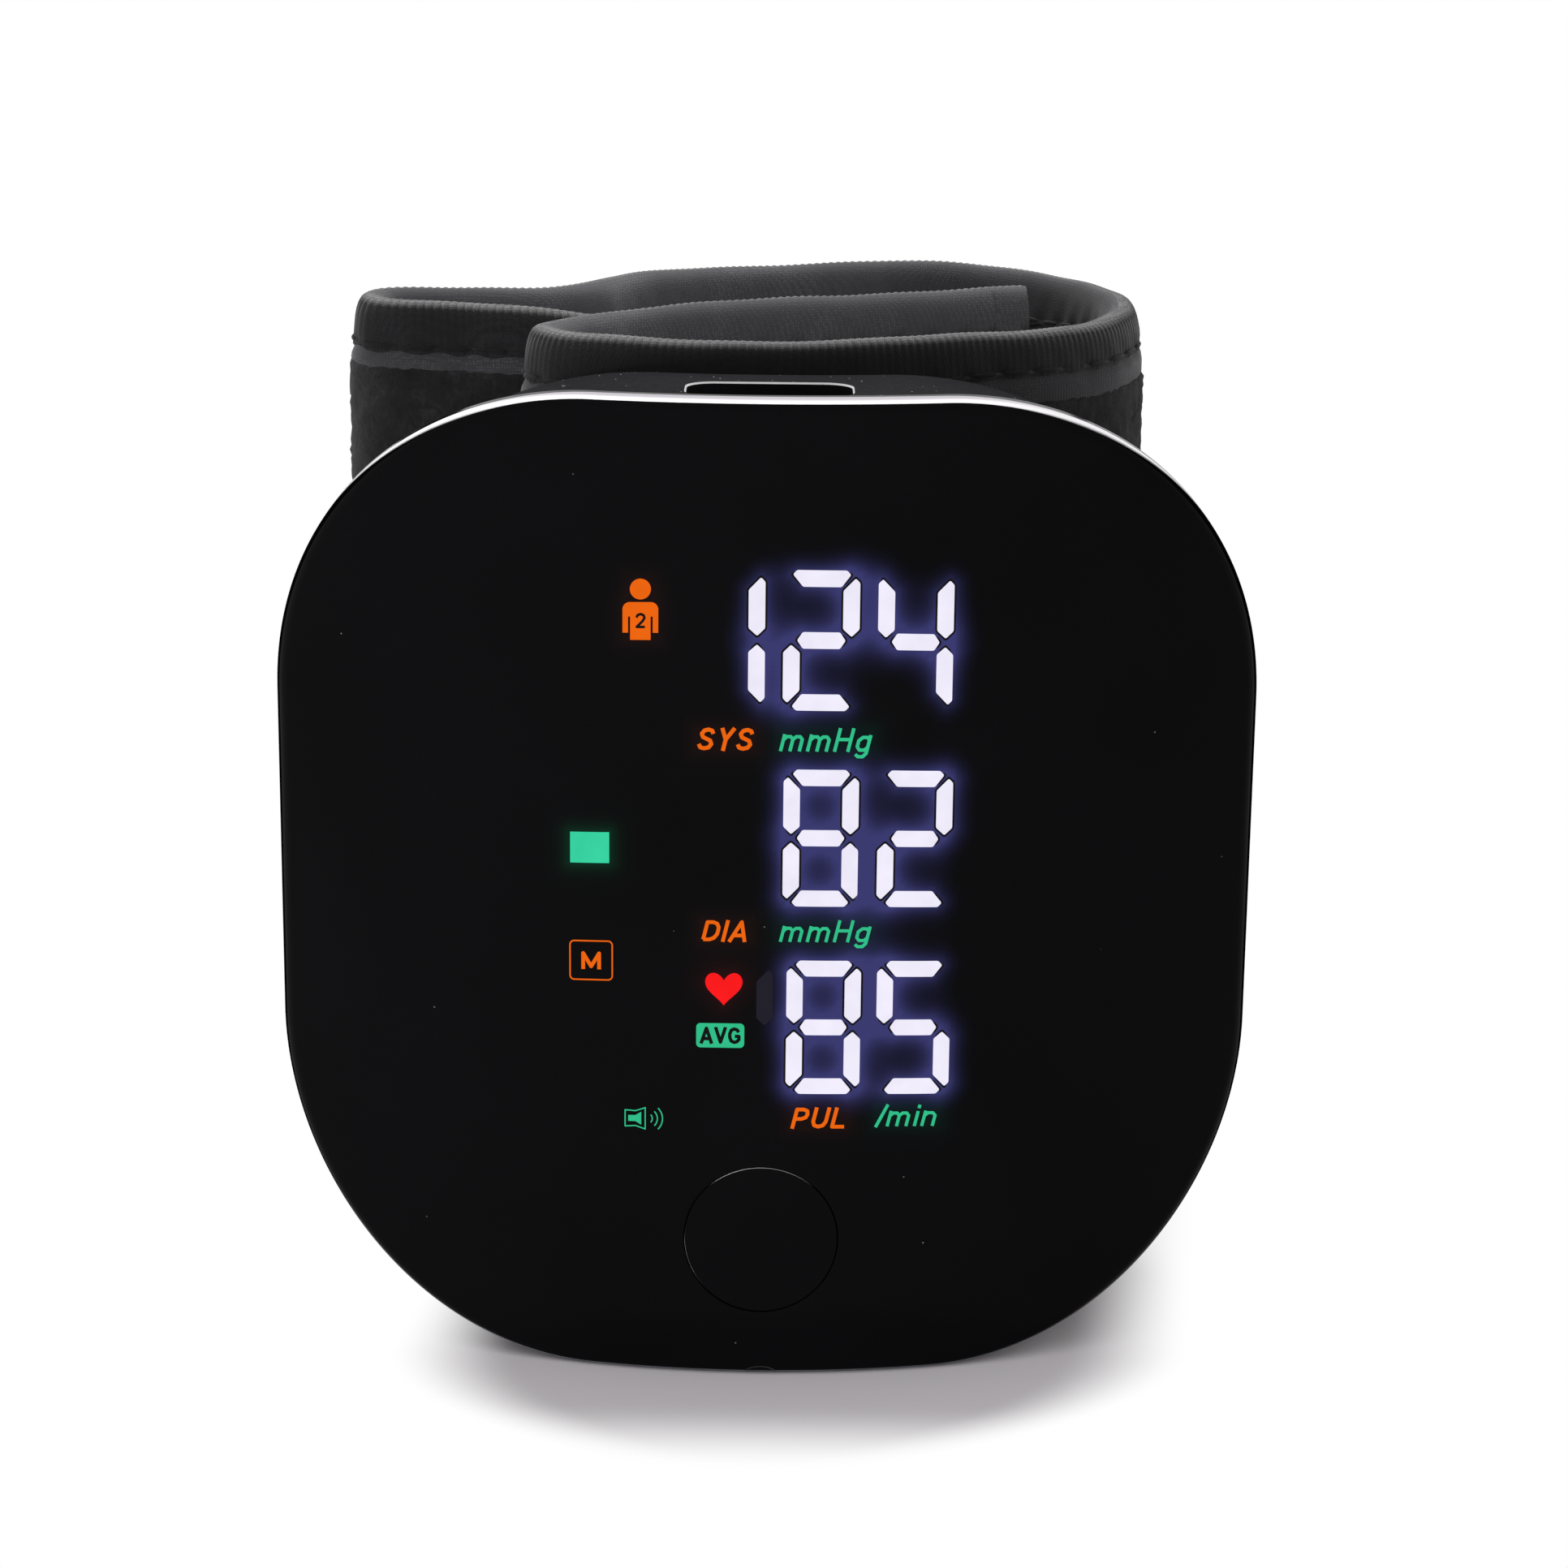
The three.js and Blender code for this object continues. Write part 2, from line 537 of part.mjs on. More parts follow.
function soundSlots() {
  const slots = Array.from({ length: SOUND_SLOT_COUNT }, (_, index) => {
    const z = SPEAKER_Z + (index - (SOUND_SLOT_COUNT - 1) / 2) * SOUND_SLOT_PITCH;
    const y = REAR_INSIDE + rearSag(SPEAKER_X);
    return block(SOUND_SLOT_LENGTH, 8 * WALL, SOUND_SLOT_WIDTH, SPEAKER_X, y, z);
  });
  return slots.reduce((joined, slot) => joined.add(slot));
}
addPart(monitor, "rear_case", rearCase(), CASE_GREY);

// Case screws: domed heads seated in the rear shell, shanks in the front shell's bosses
function caseScrew() {
  const shank = SCREW_DIAMETER / 2;
  const head = SCREW_HEAD_DIAMETER / 2;
  const profile = [
    [0, -SCREW_LENGTH], [shank * SCREW_TAPER, -SCREW_LENGTH], [shank, -SCREW_LENGTH + shank], [shank, 0],
    [head, 0], [head, SCREW_HEAD_HEIGHT * SCREW_TAPER], [head * SCREW_TAPER, SCREW_HEAD_HEIGHT],
    [0, SCREW_HEAD_HEIGHT],
  ].map(([radius, height]) => new THREE.Vector2(radius, height));
  return toSolid(new THREE.LatheGeometry(profile, SCREW_SIDES));
}
screwPlaces().forEach(([x, z], index) => {
  const screw = caseScrew().translate([x, SCREW_SEAT + SLIDE_GAP, z]);
  addPart(monitor, `case_screw_${index + 1}`, screw, STEEL);
});

// Start button: cap flush with the lens, with a flange behind the front shell that pushes the switch stem
function buttonCap() {
  const face = curvedSlab({
    halfWidth: FACE_WIDTH / 2,
    halfHeight: FACE_HEIGHT / 2,
    corner: FACE_CORNER,
    front: 0,
    rear: CASE_DEPTH,
    rearBend: frontSag,
  });
  return rodY(BUTTON_DIAMETER, -1, FLANGE_BACK, 0, BUTTON_Z)
    .intersect(face)
    .add(rodY(FLANGE_DIAMETER, FLANGE_FRONT, FLANGE_BACK, 0, BUTTON_Z));
}
addPart(monitor, "button_cap", buttonCap(), BUTTON_BLACK);

function switchBody() {
  const back = SWITCH_FRONT + SWITCH_HEIGHT;
  const body = plateY(SWITCH_SIZE, SWITCH_SIZE, SWITCH_CORNER, SWITCH_FRONT, back, 0, BUTTON_Z);
  const depth = BUTTON_TRAVEL + 2 * SLIDE_GAP;
  const bore = SWITCH_STEM_DIAMETER + 2 * SLIDE_GAP;
  return body.subtract(rodY(bore, SWITCH_FRONT - 1, SWITCH_FRONT + SLIDE_GAP + depth, 0, BUTTON_Z));
}
addPart(monitor, "switch_body", switchBody(), COMPONENT_BLACK);
addPart(
  monitor,
  "switch_stem",
  rodY(SWITCH_STEM_DIAMETER, STEM_FRONT, SWITCH_FRONT + SLIDE_GAP, 0, BUTTON_Z),
  FITTING_WHITE,
);

// Display: light box with a raised frame round its front
function displayModule() {
  const back = DISPLAY_FRONT + DISPLAY_THICKNESS;
  const middle = (DISPLAY_FRONT + back) / 2;
  const box = block(DISPLAY_WIDTH, DISPLAY_THICKNESS, DISPLAY_HEIGHT, 0, middle, DISPLAY_CENTRE_Z);
  const insideWidth = DISPLAY_WIDTH - 2 * DISPLAY_FRAME;
  const insideHeight = DISPLAY_HEIGHT - 2 * DISPLAY_FRAME;
  const recess = block(insideWidth, 2 * DISPLAY_FRAME_STEP, insideHeight, 0, DISPLAY_FRONT, DISPLAY_CENTRE_Z);
  return box.subtract(recess);
}
addPart(monitor, "display_module", displayModule(), COMPONENT_BLACK);

// Circuit board
const boardHeight = BOARD_TOP - BOARD_BOTTOM;
const boardMiddle = (BOARD_TOP + BOARD_BOTTOM) / 2;
addPart(
  monitor,
  "main_board",
  plateY(BOARD_WIDTH, boardHeight, BOARD_CORNER, BOARD_FRONT, BOARD_BACK, 0, boardMiddle),
  BOARD_GREEN,
);

// Charging socket: steel shell standing on the back of the board, with its contact tongue
function socketShell() {
  const top = WELL_FLOOR - SLIDE_GAP;
  const outer = postZ(SOCKET_WIDTH, SOCKET_HEIGHT, SOCKET_ROUND, top - SOCKET_LENGTH, top, 0, SOCKET_Y);
  const boreWidth = SOCKET_WIDTH - 2 * SOCKET_WALL;
  const boreHeight = SOCKET_HEIGHT - 2 * SOCKET_WALL;
  const floor = top - SOCKET_LENGTH + 2 * SOCKET_WALL;
  const boreRound = SOCKET_ROUND - SOCKET_WALL;
  return outer.subtract(postZ(boreWidth, boreHeight, boreRound, floor, top + 1, 0, SOCKET_Y));
}
addPart(monitor, "usb_shell", socketShell(), STEEL);

const tongueBottom = WELL_FLOOR - SLIDE_GAP - SOCKET_LENGTH + 2 * SOCKET_WALL + SLIDE_GAP;
addPart(
  monitor,
  "usb_tongue",
  postZ(TONGUE_WIDTH, TONGUE_THICKNESS, TONGUE_THICKNESS / 3, tongueBottom, WELL_FLOOR - 1, 0, SOCKET_Y),
  COMPONENT_BLACK,
);

// Battery pouch on the back of the board
function batteryPack() {
  const settings = {
    depth: BATTERY_THICKNESS - 2 * BATTERY_EDGE_ROUND,
    bevelThickness: BATTERY_EDGE_ROUND,
    bevelSize: BATTERY_EDGE_ROUND,
    bevelSegments: 1,
    curveSegments: 2,
  };
  const shape = roundedShape(
    BATTERY_WIDTH - 2 * BATTERY_EDGE_ROUND,
    BATTERY_HEIGHT - 2 * BATTERY_EDGE_ROUND,
    BATTERY_EDGE_ROUND,
  );
  const pouch = new THREE.ExtrudeGeometry(shape, settings).rotateX(Math.PI / 2);
  const back = BOARD_BACK + FIT_GAP + BATTERY_THICKNESS - BATTERY_EDGE_ROUND;
  return toSolid(pouch.translate(0, back, BATTERY_TOP - BATTERY_HEIGHT / 2));
}
addPart(monitor, "battery_pack", batteryPack(), BATTERY_SILVER);

// Air pump: motor can above, diaphragm head with its nipple below
const pumpJoint = PUMP_HEAD_BOTTOM + PUMP_HEAD_LENGTH;
const pumpNippleZ = PUMP_HEAD_BOTTOM + 0.25 * PUMP_HEAD_LENGTH;
const pumpNippleEnd = PUMP_X - PUMP_DIAMETER / 2 - NIPPLE_LENGTH;
function pumpMotor() {
  const bottom = pumpJoint + FIT_GAP;
  const top = bottom + PUMP_MOTOR_LENGTH;
  const can = rodZ(PUMP_DIAMETER - 2 * PUMP_MOTOR_STEP, bottom, top, PUMP_X, PUMP_Y);
  return can.add(rodZ(PUMP_HUB_DIAMETER, top - 1, top + PUMP_HUB_LENGTH, PUMP_X, PUMP_Y));
}
function pumpHead() {
  const groove = rodZ(PUMP_DIAMETER + 1, 0, NIPPLE_DIAMETER / 2, PUMP_X, PUMP_Y)
    .subtract(rodZ(PUMP_DIAMETER - 2 * PUMP_GROOVE, -1, NIPPLE_DIAMETER, PUMP_X, PUMP_Y));
  return rodZ(PUMP_DIAMETER, PUMP_HEAD_BOTTOM, pumpJoint, PUMP_X, PUMP_Y)
    .subtract(groove.translate([0, 0, pumpJoint - PUMP_HEAD_LENGTH / 3]))
    .subtract(groove.translate([0, 0, pumpJoint - PUMP_HEAD_LENGTH / 2]))
    .add(rodX(NIPPLE_DIAMETER, pumpNippleEnd, PUMP_X, PUMP_Y, pumpNippleZ));
}
addPart(monitor, "pump_motor", pumpMotor(), STEEL);
addPart(monitor, "pump_head", pumpHead(), COMPONENT_BLACK);

// Release valve against the rear wall, with its nipple towards the middle
const valveDrop = REAR_RADIUS + VALVE_DIAMETER / 2 + FIT_GAP;
const valveY = REAR_INSIDE + REAR_RADIUS - Math.sqrt(valveDrop ** 2 - VALVE_X ** 2);
const valveNippleZ = VALVE_BOTTOM + 0.2 * VALVE_LENGTH;
const valveNippleEnd = VALVE_X + VALVE_DIAMETER / 2 + NIPPLE_LENGTH;
function releaseValve() {
  const can = rodZ(VALVE_DIAMETER, VALVE_BOTTOM, VALVE_BOTTOM + VALVE_LENGTH, VALVE_X, valveY);
  const neck = rodZ(VALVE_DIAMETER / 2, VALVE_BOTTOM - NIPPLE_LENGTH / 2, VALVE_BOTTOM + 1, VALVE_X, valveY);
  return can.add(neck).add(rodX(NIPPLE_DIAMETER, VALVE_X, valveNippleEnd, valveY, valveNippleZ));
}
addPart(monitor, "release_valve", releaseValve(), STEEL);

// Pressure sensor on the back of the board, with its nipple towards the manifold
const sensorFront = BOARD_BACK + FIT_GAP;
const sensorNippleY = sensorFront + SENSOR_THICKNESS / 2;
const sensorNippleEnd = SENSOR_X - SENSOR_WIDTH / 2 - NIPPLE_LENGTH;
function pressureSensor() {
  const middle = sensorFront + SENSOR_THICKNESS / 2;
  const body = block(SENSOR_WIDTH, SENSOR_THICKNESS, SENSOR_HEIGHT, SENSOR_X, middle, SENSOR_Z);
  return body.add(rodX(NIPPLE_DIAMETER, sensorNippleEnd, SENSOR_X, sensorNippleY, SENSOR_Z));
}
addPart(monitor, "pressure_sensor", pressureSensor(), COMPONENT_BLACK);

// Air manifold on the end of the cuff nozzle, with three nipples
const manifoldBack = REAR_INSIDE - FIT_GAP;
const manifoldY = manifoldBack - MANIFOLD_LENGTH / 2;
const manifoldRight = NOZZLE_X + MANIFOLD_WIDTH / 2 + NIPPLE_LENGTH;
const manifoldLeft = NOZZLE_X - MANIFOLD_WIDTH / 2 - NIPPLE_LENGTH;
const manifoldUpper = NOZZLE_Z + (TUBE_DIAMETER + FIT_GAP) / 2;
const manifoldLower = NOZZLE_Z - (TUBE_DIAMETER + FIT_GAP) / 2;
function airManifold() {
  const boreFront = manifoldBack - NOZZLE_SOCKET;
  return block(MANIFOLD_WIDTH, MANIFOLD_LENGTH, MANIFOLD_HEIGHT, NOZZLE_X, manifoldY, NOZZLE_Z)
    .add(rodX(NIPPLE_DIAMETER, NOZZLE_X, manifoldRight, manifoldY, manifoldUpper))
    .add(rodX(NIPPLE_DIAMETER, manifoldLeft, NOZZLE_X, manifoldY, manifoldUpper))
    .add(rodX(NIPPLE_DIAMETER, NOZZLE_X, manifoldRight, manifoldY, manifoldLower))
    .subtract(rodY(NOZZLE_DIAMETER + 2 * SLIDE_GAP, boreFront, manifoldBack + 1, NOZZLE_X, NOZZLE_Z));
}
addPart(monitor, "air_manifold", airManifold(), FITTING_WHITE);

// Air tubes: hollow, pushed over the nipples at both ends
function airTube(start, end, startOut, endOut) {
  const reach = 0.5 * start.distanceTo(end);
  const first = start.clone().addScaledVector(startOut, reach);
  const second = end.clone().addScaledVector(endOut, reach);
  const route = new THREE.CubicBezierCurve3(start, first, second, end);
  const section = new THREE.Shape().absarc(0, 0, TUBE_DIAMETER / 2, 0, 2 * Math.PI);
  section.holes.push(new THREE.Path().absarc(0, 0, TUBE_BORE / 2, 0, 2 * Math.PI, true));
  const settings = {
    extrudePath: route,
    steps: TUBE_STEPS,
    curveSegments: TUBE_SIDES / 2,
    bevelEnabled: false,
  };
  return toSolid(new THREE.ExtrudeGeometry(section, settings));
}
const right = new THREE.Vector3(1, 0, 0);
const left = new THREE.Vector3(-1, 0, 0);
const nearRight = NOZZLE_X + MANIFOLD_WIDTH / 2 + FIT_GAP;
const nearLeft = NOZZLE_X - MANIFOLD_WIDTH / 2 - FIT_GAP;
addPart(monitor, "pump_tube", airTube(
  new THREE.Vector3(nearRight, manifoldY, manifoldUpper),
  new THREE.Vector3(PUMP_X - PUMP_DIAMETER / 2 - FIT_GAP, PUMP_Y, pumpNippleZ),
  right,
  left,
), TUBE_CLEAR);
addPart(monitor, "valve_tube", airTube(
  new THREE.Vector3(nearLeft, manifoldY, manifoldUpper),
  new THREE.Vector3(VALVE_X + VALVE_DIAMETER / 2 + FIT_GAP, valveY, valveNippleZ),
  left,
  right,
), TUBE_CLEAR);
addPart(monitor, "sensor_tube", airTube(
  new THREE.Vector3(nearRight, manifoldY, manifoldLower),
  new THREE.Vector3(SENSOR_X - SENSOR_WIDTH / 2 - FIT_GAP, sensorNippleY, SENSOR_Z),
  right,
  left,
), TUBE_CLEAR);

// Speaker lying against the slope of the rear wall, behind the sound slots
function speaker() {
  const slope = Math.atan2(SPEAKER_X, Math.sqrt(REAR_RADIUS ** 2 - SPEAKER_X ** 2));
  const drop = FIT_GAP + SPEAKER_THICKNESS / 2;
  const x = SPEAKER_X + drop * Math.sin(slope);
  const y = REAR_INSIDE + rearSag(SPEAKER_X) - drop * Math.cos(slope);
  const box = new THREE.BoxGeometry(SPEAKER_WIDTH, SPEAKER_THICKNESS, SPEAKER_HEIGHT);
  return toSolid(box.rotateZ(slope).translate(x, y, SPEAKER_Z));
}
addPart(monitor, "speaker", speaker(), COMPONENT_BLACK);

// Frame that clips the cuff to the rear shell: a windowed plate with two barbed hooks
function mountFrame() {
  const back = MOUNT_FRONT + MOUNT_THICKNESS;
  const inner = 2 * MOUNT_WINDOW_MARGIN;
  const plate = plateY(MOUNT_WIDTH, MOUNT_HEIGHT, MOUNT_CORNER, MOUNT_FRONT, back, NOZZLE_X, MOUNT_CENTRE_Z);
  const windowHeight = HOOK_PITCH - HOOK_THICKNESS - inner;
  const middle = MOUNT_FRONT + MOUNT_THICKNESS / 2;
  const width = MOUNT_WIDTH - inner;
  let frame = plate.subtract(
    block(width, 2 * MOUNT_THICKNESS, windowHeight, NOZZLE_X, middle, MOUNT_CENTRE_Z),
  );
  const tip = REAR_INSIDE - FIT_GAP - HOOK_BARB_LENGTH;
  for (const side of [-1, 1]) {
    const z = MOUNT_CENTRE_Z + side * HOOK_PITCH / 2;
    const shank = block(HOOK_WIDTH, back - tip, HOOK_THICKNESS, NOZZLE_X, (back + tip) / 2, z);
    const barbZ = z + side * HOOK_BARB / 2;
    const barbHeight = HOOK_THICKNESS + HOOK_BARB;
    const barbY = tip + HOOK_BARB_LENGTH / 2;
    frame = frame.add(shank).add(block(HOOK_WIDTH, HOOK_BARB_LENGTH, barbHeight, NOZZLE_X, barbY, barbZ));
  }
  return frame;
}
addPart(monitor, "cuff_mount_frame", mountFrame(), CASE_GREY);

// Strap route: far wall, round fold on the left, then the tail offset from the short wing
function strapRoute() {
  const [foldX, foldY] = FOLD_CENTRE;
  const fold = Array.from({ length: FOLD_STEPS + 1 }, (_, step) => {
    const angle = Math.PI * (0.5 + step / FOLD_STEPS);
    return [foldX + FOLD_RADIUS * Math.cos(angle), foldY + FOLD_RADIUS * Math.sin(angle)];
  });
  const leadIn = [foldX + FOLD_LEAD, foldY + FOLD_RADIUS];
  const leadOut = [1, 2].map((step) => [foldX + step * FOLD_LEAD, foldY - FOLD_RADIUS]);
  const tail = Array.from({ length: TAIL_POINT_COUNT }, (_, step) => {
    const index = TAIL_FIRST_INDEX + TAIL_POINT_COUNT - 1 - step;
    const [x, y] = SHORT_WING_ROUTE[index];
    const [beforeX, beforeY] = SHORT_WING_ROUTE[index - 1];
    const [afterX, afterY] = SHORT_WING_ROUTE[index + 1];
    const run = Math.hypot(afterX - beforeX, afterY - beforeY);
    return [x + TAIL_SPACING * (afterY - beforeY) / run, y - TAIL_SPACING * (afterX - beforeX) / run];
  });
  return [...FAR_WALL_ROUTE, leadIn, ...fold, ...leadOut, ...tail];
}

// Cuff route sampled to stations, each with its outward normal
const routePoints = [...SHORT_WING_ROUTE, ...strapRoute()].map(([x, y]) =>
  new THREE.Vector3(x, WALL_MIDDLE + y, 0));
const routeCurve = new THREE.CatmullRomCurve3(routePoints, false, "centripetal");
const stationCount = (routePoints.length - 1) * ROUTE_STEPS;
const stations = Array.from({ length: stationCount + 1 }, (_, index) => {
  const share = index / stationCount;
  const point = routeCurve.getPoint(share);
  const along = routeCurve.getTangent(share);
  return { point, along, outward: new THREE.Vector3(along.y, -along.x, 0) };
});
const HINGE_STATION = (SHORT_WING_ROUTE.length - 1) * ROUTE_STEPS;

// Sweep of a section of [outward, z] pairs between two stations
function sweep(from, to, section) {
  const rows = [];
  for (let index = from; index <= to; index += 1) {
    const { point, along, outward } = stations[index];
    const pull = (index === HINGE_STATION) ? HINGE_GAP / 2 : 0;
    const shift = (to === HINGE_STATION) ? -pull : pull;
    const base = point.clone().addScaledVector(along, shift);
    rows.push(section.map(([out, z]) => base.clone().addScaledVector(outward, out).setZ(z)));
  }
  const positions = [];
  const triangle = (a, b, c) => positions.push(...a, ...b, ...c);
  const count = section.length;
  for (let row = 0; row + 1 < rows.length; row += 1) {
    for (let i = 0; i < count; i += 1) {
      const j = (i + 1) % count;
      triangle(rows[row][i], rows[row + 1][i], rows[row][j]);
      triangle(rows[row][j], rows[row + 1][i], rows[row + 1][j]);
    }
  }
  const contour = section.map(([out, z]) => new THREE.Vector2(out, z));
  const lastRow = rows[rows.length - 1];
  for (const [a, b, c] of THREE.ShapeUtils.triangulateShape(contour, [])) {
    triangle(rows[0][a], rows[0][b], rows[0][c]);
    triangle(lastRow[a], lastRow[c], lastRow[b]);
  }
  const geometry = new THREE.BufferGeometry();
  geometry.setAttribute("position", new THREE.Float32BufferAttribute(positions, 3));
  return toSolid(geometry);
}

// Flat layer of the sandwich, drawn in from both edges of the cuff by a margin
function layer(from, to, face, thickness, margin) {
  const low = CUFF_BOTTOM + margin;
  const high = CUFF_BOTTOM + CUFF_HEIGHT - margin;
  return sweep(from, to, [[face - thickness, low], [face, low], [face, high], [face - thickness, high]]);
}

// Folded edge tape along the top or bottom of the cuff
function edgeTape(from, to, top) {
  const edge = top ? CUFF_BOTTOM + CUFF_HEIGHT : CUFF_BOTTOM;
  const side = top ? -1 : 1;
  const inside = TAPE_FACE - TAPE_WALL;
  const profile = [
    [-TAPE_FACE, 0], [TAPE_FACE, 0], [TAPE_FACE, TAPE_HEIGHT], [inside, TAPE_HEIGHT],
    [inside, 2 * TAPE_WALL], [-inside, 2 * TAPE_WALL], [-inside, TAPE_HEIGHT], [-TAPE_FACE, TAPE_HEIGHT],
  ].map(([out, depth]) => [out, edge + side * depth]);
  return sweep(from, to, top ? profile.reverse() : profile);
}

const TAPE_FLOOR = 2 * TAPE_WALL + LAYER_GAP;
const nozzleHole = () =>
  rodY(NOZZLE_DIAMETER + 2 * FIT_GAP, REAR_INSIDE, WALL_MIDDLE - BLADDER_FACE, NOZZLE_X, NOZZLE_Z);

// Fixed half of the cuff: short wing, left fold and the wall behind the monitor
function cuffFabric() {
  return layer(0, HINGE_STATION, OUTER_FACE, OUTER_FABRIC, TAPE_FLOOR).subtract(nozzleHole());
}
function cuffStiffener() {
  const from = 2 * ROUTE_STEPS;
  const to = HINGE_STATION - from;
  return layer(from, to, STIFFENER_FACE, STIFFENER, STIFFENER_MARGIN).subtract(nozzleHole());
}
function airBladder() {
  return layer(ROUTE_STEPS, HINGE_STATION - ROUTE_STEPS, BLADDER_FACE, BLADDER, BLADDER_MARGIN);
}
addPart(cuff, "cuff_outer_fabric", cuffFabric(), FABRIC_BLACK);
addPart(cuff, "cuff_stiffener", cuffStiffener(), COMPONENT_BLACK);
addPart(cuff, "air_bladder", airBladder(), BLADDER_GREY);
addPart(cuff, "cuff_lining", layer(0, HINGE_STATION, LINING_FACE, LINING, TAPE_FLOOR), LINING_GREY);
addPart(cuff, "cuff_upper_binding", edgeTape(0, HINGE_STATION, true), TAPE_BLACK);
addPart(cuff, "cuff_lower_binding", edgeTape(0, HINGE_STATION, false), TAPE_BLACK);

// Loop patch on the outer side of the short wing, where the strap's tail takes hold
const patchEnd = 4 * ROUTE_STEPS;
addPart(
  cuff,
  "cuff_loop_patch",
  layer(ROUTE_STEPS, patchEnd, OUTER_FACE + LAYER_GAP + LOOP_PATCH, LOOP_PATCH, PATCH_MARGIN),
  FABRIC_BLACK,
);

// Moving half of the cuff: right bend, far wall, folded end and tail
const end = stationCount;
const strapPadding = SANDWICH - OUTER_FABRIC - STRAP_LINING - 2 * LAYER_GAP;
const paddingFace = OUTER_FACE - OUTER_FABRIC - LAYER_GAP;
const strapLiningFace = paddingFace - strapPadding - LAYER_GAP;
const strapLayer = (face, thickness, margin) => layer(HINGE_STATION, end, face, thickness, margin);
addPart(cuff, "strap_outer_fabric", strapLayer(OUTER_FACE, OUTER_FABRIC, TAPE_FLOOR), FABRIC_BLACK);
addPart(cuff, "strap_padding", strapLayer(paddingFace, strapPadding, STIFFENER_MARGIN), FABRIC_BLACK);
addPart(cuff, "strap_lining", strapLayer(strapLiningFace, STRAP_LINING, TAPE_FLOOR), LINING_GREY);
addPart(cuff, "strap_upper_binding", edgeTape(HINGE_STATION, end, true), TAPE_BLACK);
addPart(cuff, "strap_lower_binding", edgeTape(HINGE_STATION, end, false), TAPE_BLACK);
addPart(
  cuff,
  "strap_hook_patch",
  layer(end - 2 * ROUTE_STEPS, end, OUTER_FACE + LAYER_GAP + HOOK_PATCH, HOOK_PATCH, PATCH_MARGIN),
  FABRIC_BLACK,
);

// Air nozzle: hollow stem from the bladder through the rear wall into the manifold
function cuffNozzle() {
  const bladderEnd = WALL_MIDDLE - BLADDER_FACE - FIT_GAP;
  const tip = manifoldBack - NOZZLE_SOCKET + 1;
  const stem = rodY(NOZZLE_DIAMETER, tip, bladderEnd, NOZZLE_X, NOZZLE_Z);
  return stem.subtract(rodY(NOZZLE_BORE, tip - 1, bladderEnd + 1, NOZZLE_X, NOZZLE_Z));
}
addPart(monitor, "cuff_nozzle", cuffNozzle(), FITTING_WHITE);

// Stand the object on its lower edge, with its depth centred on the origin
const farEdge = Math.max(...stations.map(({ point, outward }) => point.y + Math.abs(outward.y) * TAPE_FACE));
object.position.set(0, -farEdge / 2, FACE_HEIGHT / 2);

export default object;
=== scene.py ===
import math

import bmesh
import bpy
import numpy as np
from mathutils import Matrix, Vector


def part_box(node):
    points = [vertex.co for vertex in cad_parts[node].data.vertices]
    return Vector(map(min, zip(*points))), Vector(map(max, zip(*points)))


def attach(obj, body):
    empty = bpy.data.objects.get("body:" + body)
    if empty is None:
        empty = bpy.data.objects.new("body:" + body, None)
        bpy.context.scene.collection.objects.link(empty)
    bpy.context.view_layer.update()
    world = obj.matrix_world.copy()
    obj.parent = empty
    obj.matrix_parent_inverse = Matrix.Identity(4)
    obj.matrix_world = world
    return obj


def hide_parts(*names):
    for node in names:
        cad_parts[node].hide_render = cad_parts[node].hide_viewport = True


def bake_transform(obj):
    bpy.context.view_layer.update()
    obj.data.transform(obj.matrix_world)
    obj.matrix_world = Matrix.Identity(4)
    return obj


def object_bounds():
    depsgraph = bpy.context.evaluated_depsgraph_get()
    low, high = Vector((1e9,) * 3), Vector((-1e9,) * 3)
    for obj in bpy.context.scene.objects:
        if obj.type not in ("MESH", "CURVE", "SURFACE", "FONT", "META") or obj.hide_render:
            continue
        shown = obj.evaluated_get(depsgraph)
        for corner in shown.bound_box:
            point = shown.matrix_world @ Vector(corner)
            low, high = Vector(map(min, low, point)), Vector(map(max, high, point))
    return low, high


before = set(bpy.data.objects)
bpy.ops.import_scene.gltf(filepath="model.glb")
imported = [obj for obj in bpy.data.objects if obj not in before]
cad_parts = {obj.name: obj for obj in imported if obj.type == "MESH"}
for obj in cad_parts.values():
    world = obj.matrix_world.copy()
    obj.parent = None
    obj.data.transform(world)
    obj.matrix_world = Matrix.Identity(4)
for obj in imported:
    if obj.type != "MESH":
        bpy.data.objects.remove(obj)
cad_low, cad_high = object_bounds()

# Lengths below are in millimetres and are turned into metres when a mesh is made
MM = 0.001

# Monitor sizes, as in the CAD model
FACE_RADIUS = 56.0
FACE_CORNER = 23.0
LENS_THICKNESS = 2.4
LENS_EDGE = 0.9
ADHESIVE = 0.5
FRONT_PLATE = 2.0
PARTING_GAP = 0.15
CASE_CORNER = 25.0
REAR_RADIUS = 52.0
REAR_EDGE = 2.4
WALL = 1.8
BUTTON_RADIUS = 5.4
BUTTON_GAP = 0.15
BUTTON_Z = -24.7
WELL_WIDTH = 12.5
WELL_LENGTH = 6.2
WELL_CORNER = 2.0
WELL_DEPTH = 5.6
WELL_CHAMFER = 0.12
WELL_INSET = 0.45
SCREW_SEAT_RADIUS = 2.4

# Cuff sizes, as in the CAD model
SANDWICH_FACE = 1.4
TAPE_FACE = 2.0
TAPE_SHOWN = 4.0
PILE_MARGIN = 5.1
PILE_FACE = 1.95
CUFF_GAP = 0.5


def node_box(name):
    low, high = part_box(name)
    return low / MM, high / MM


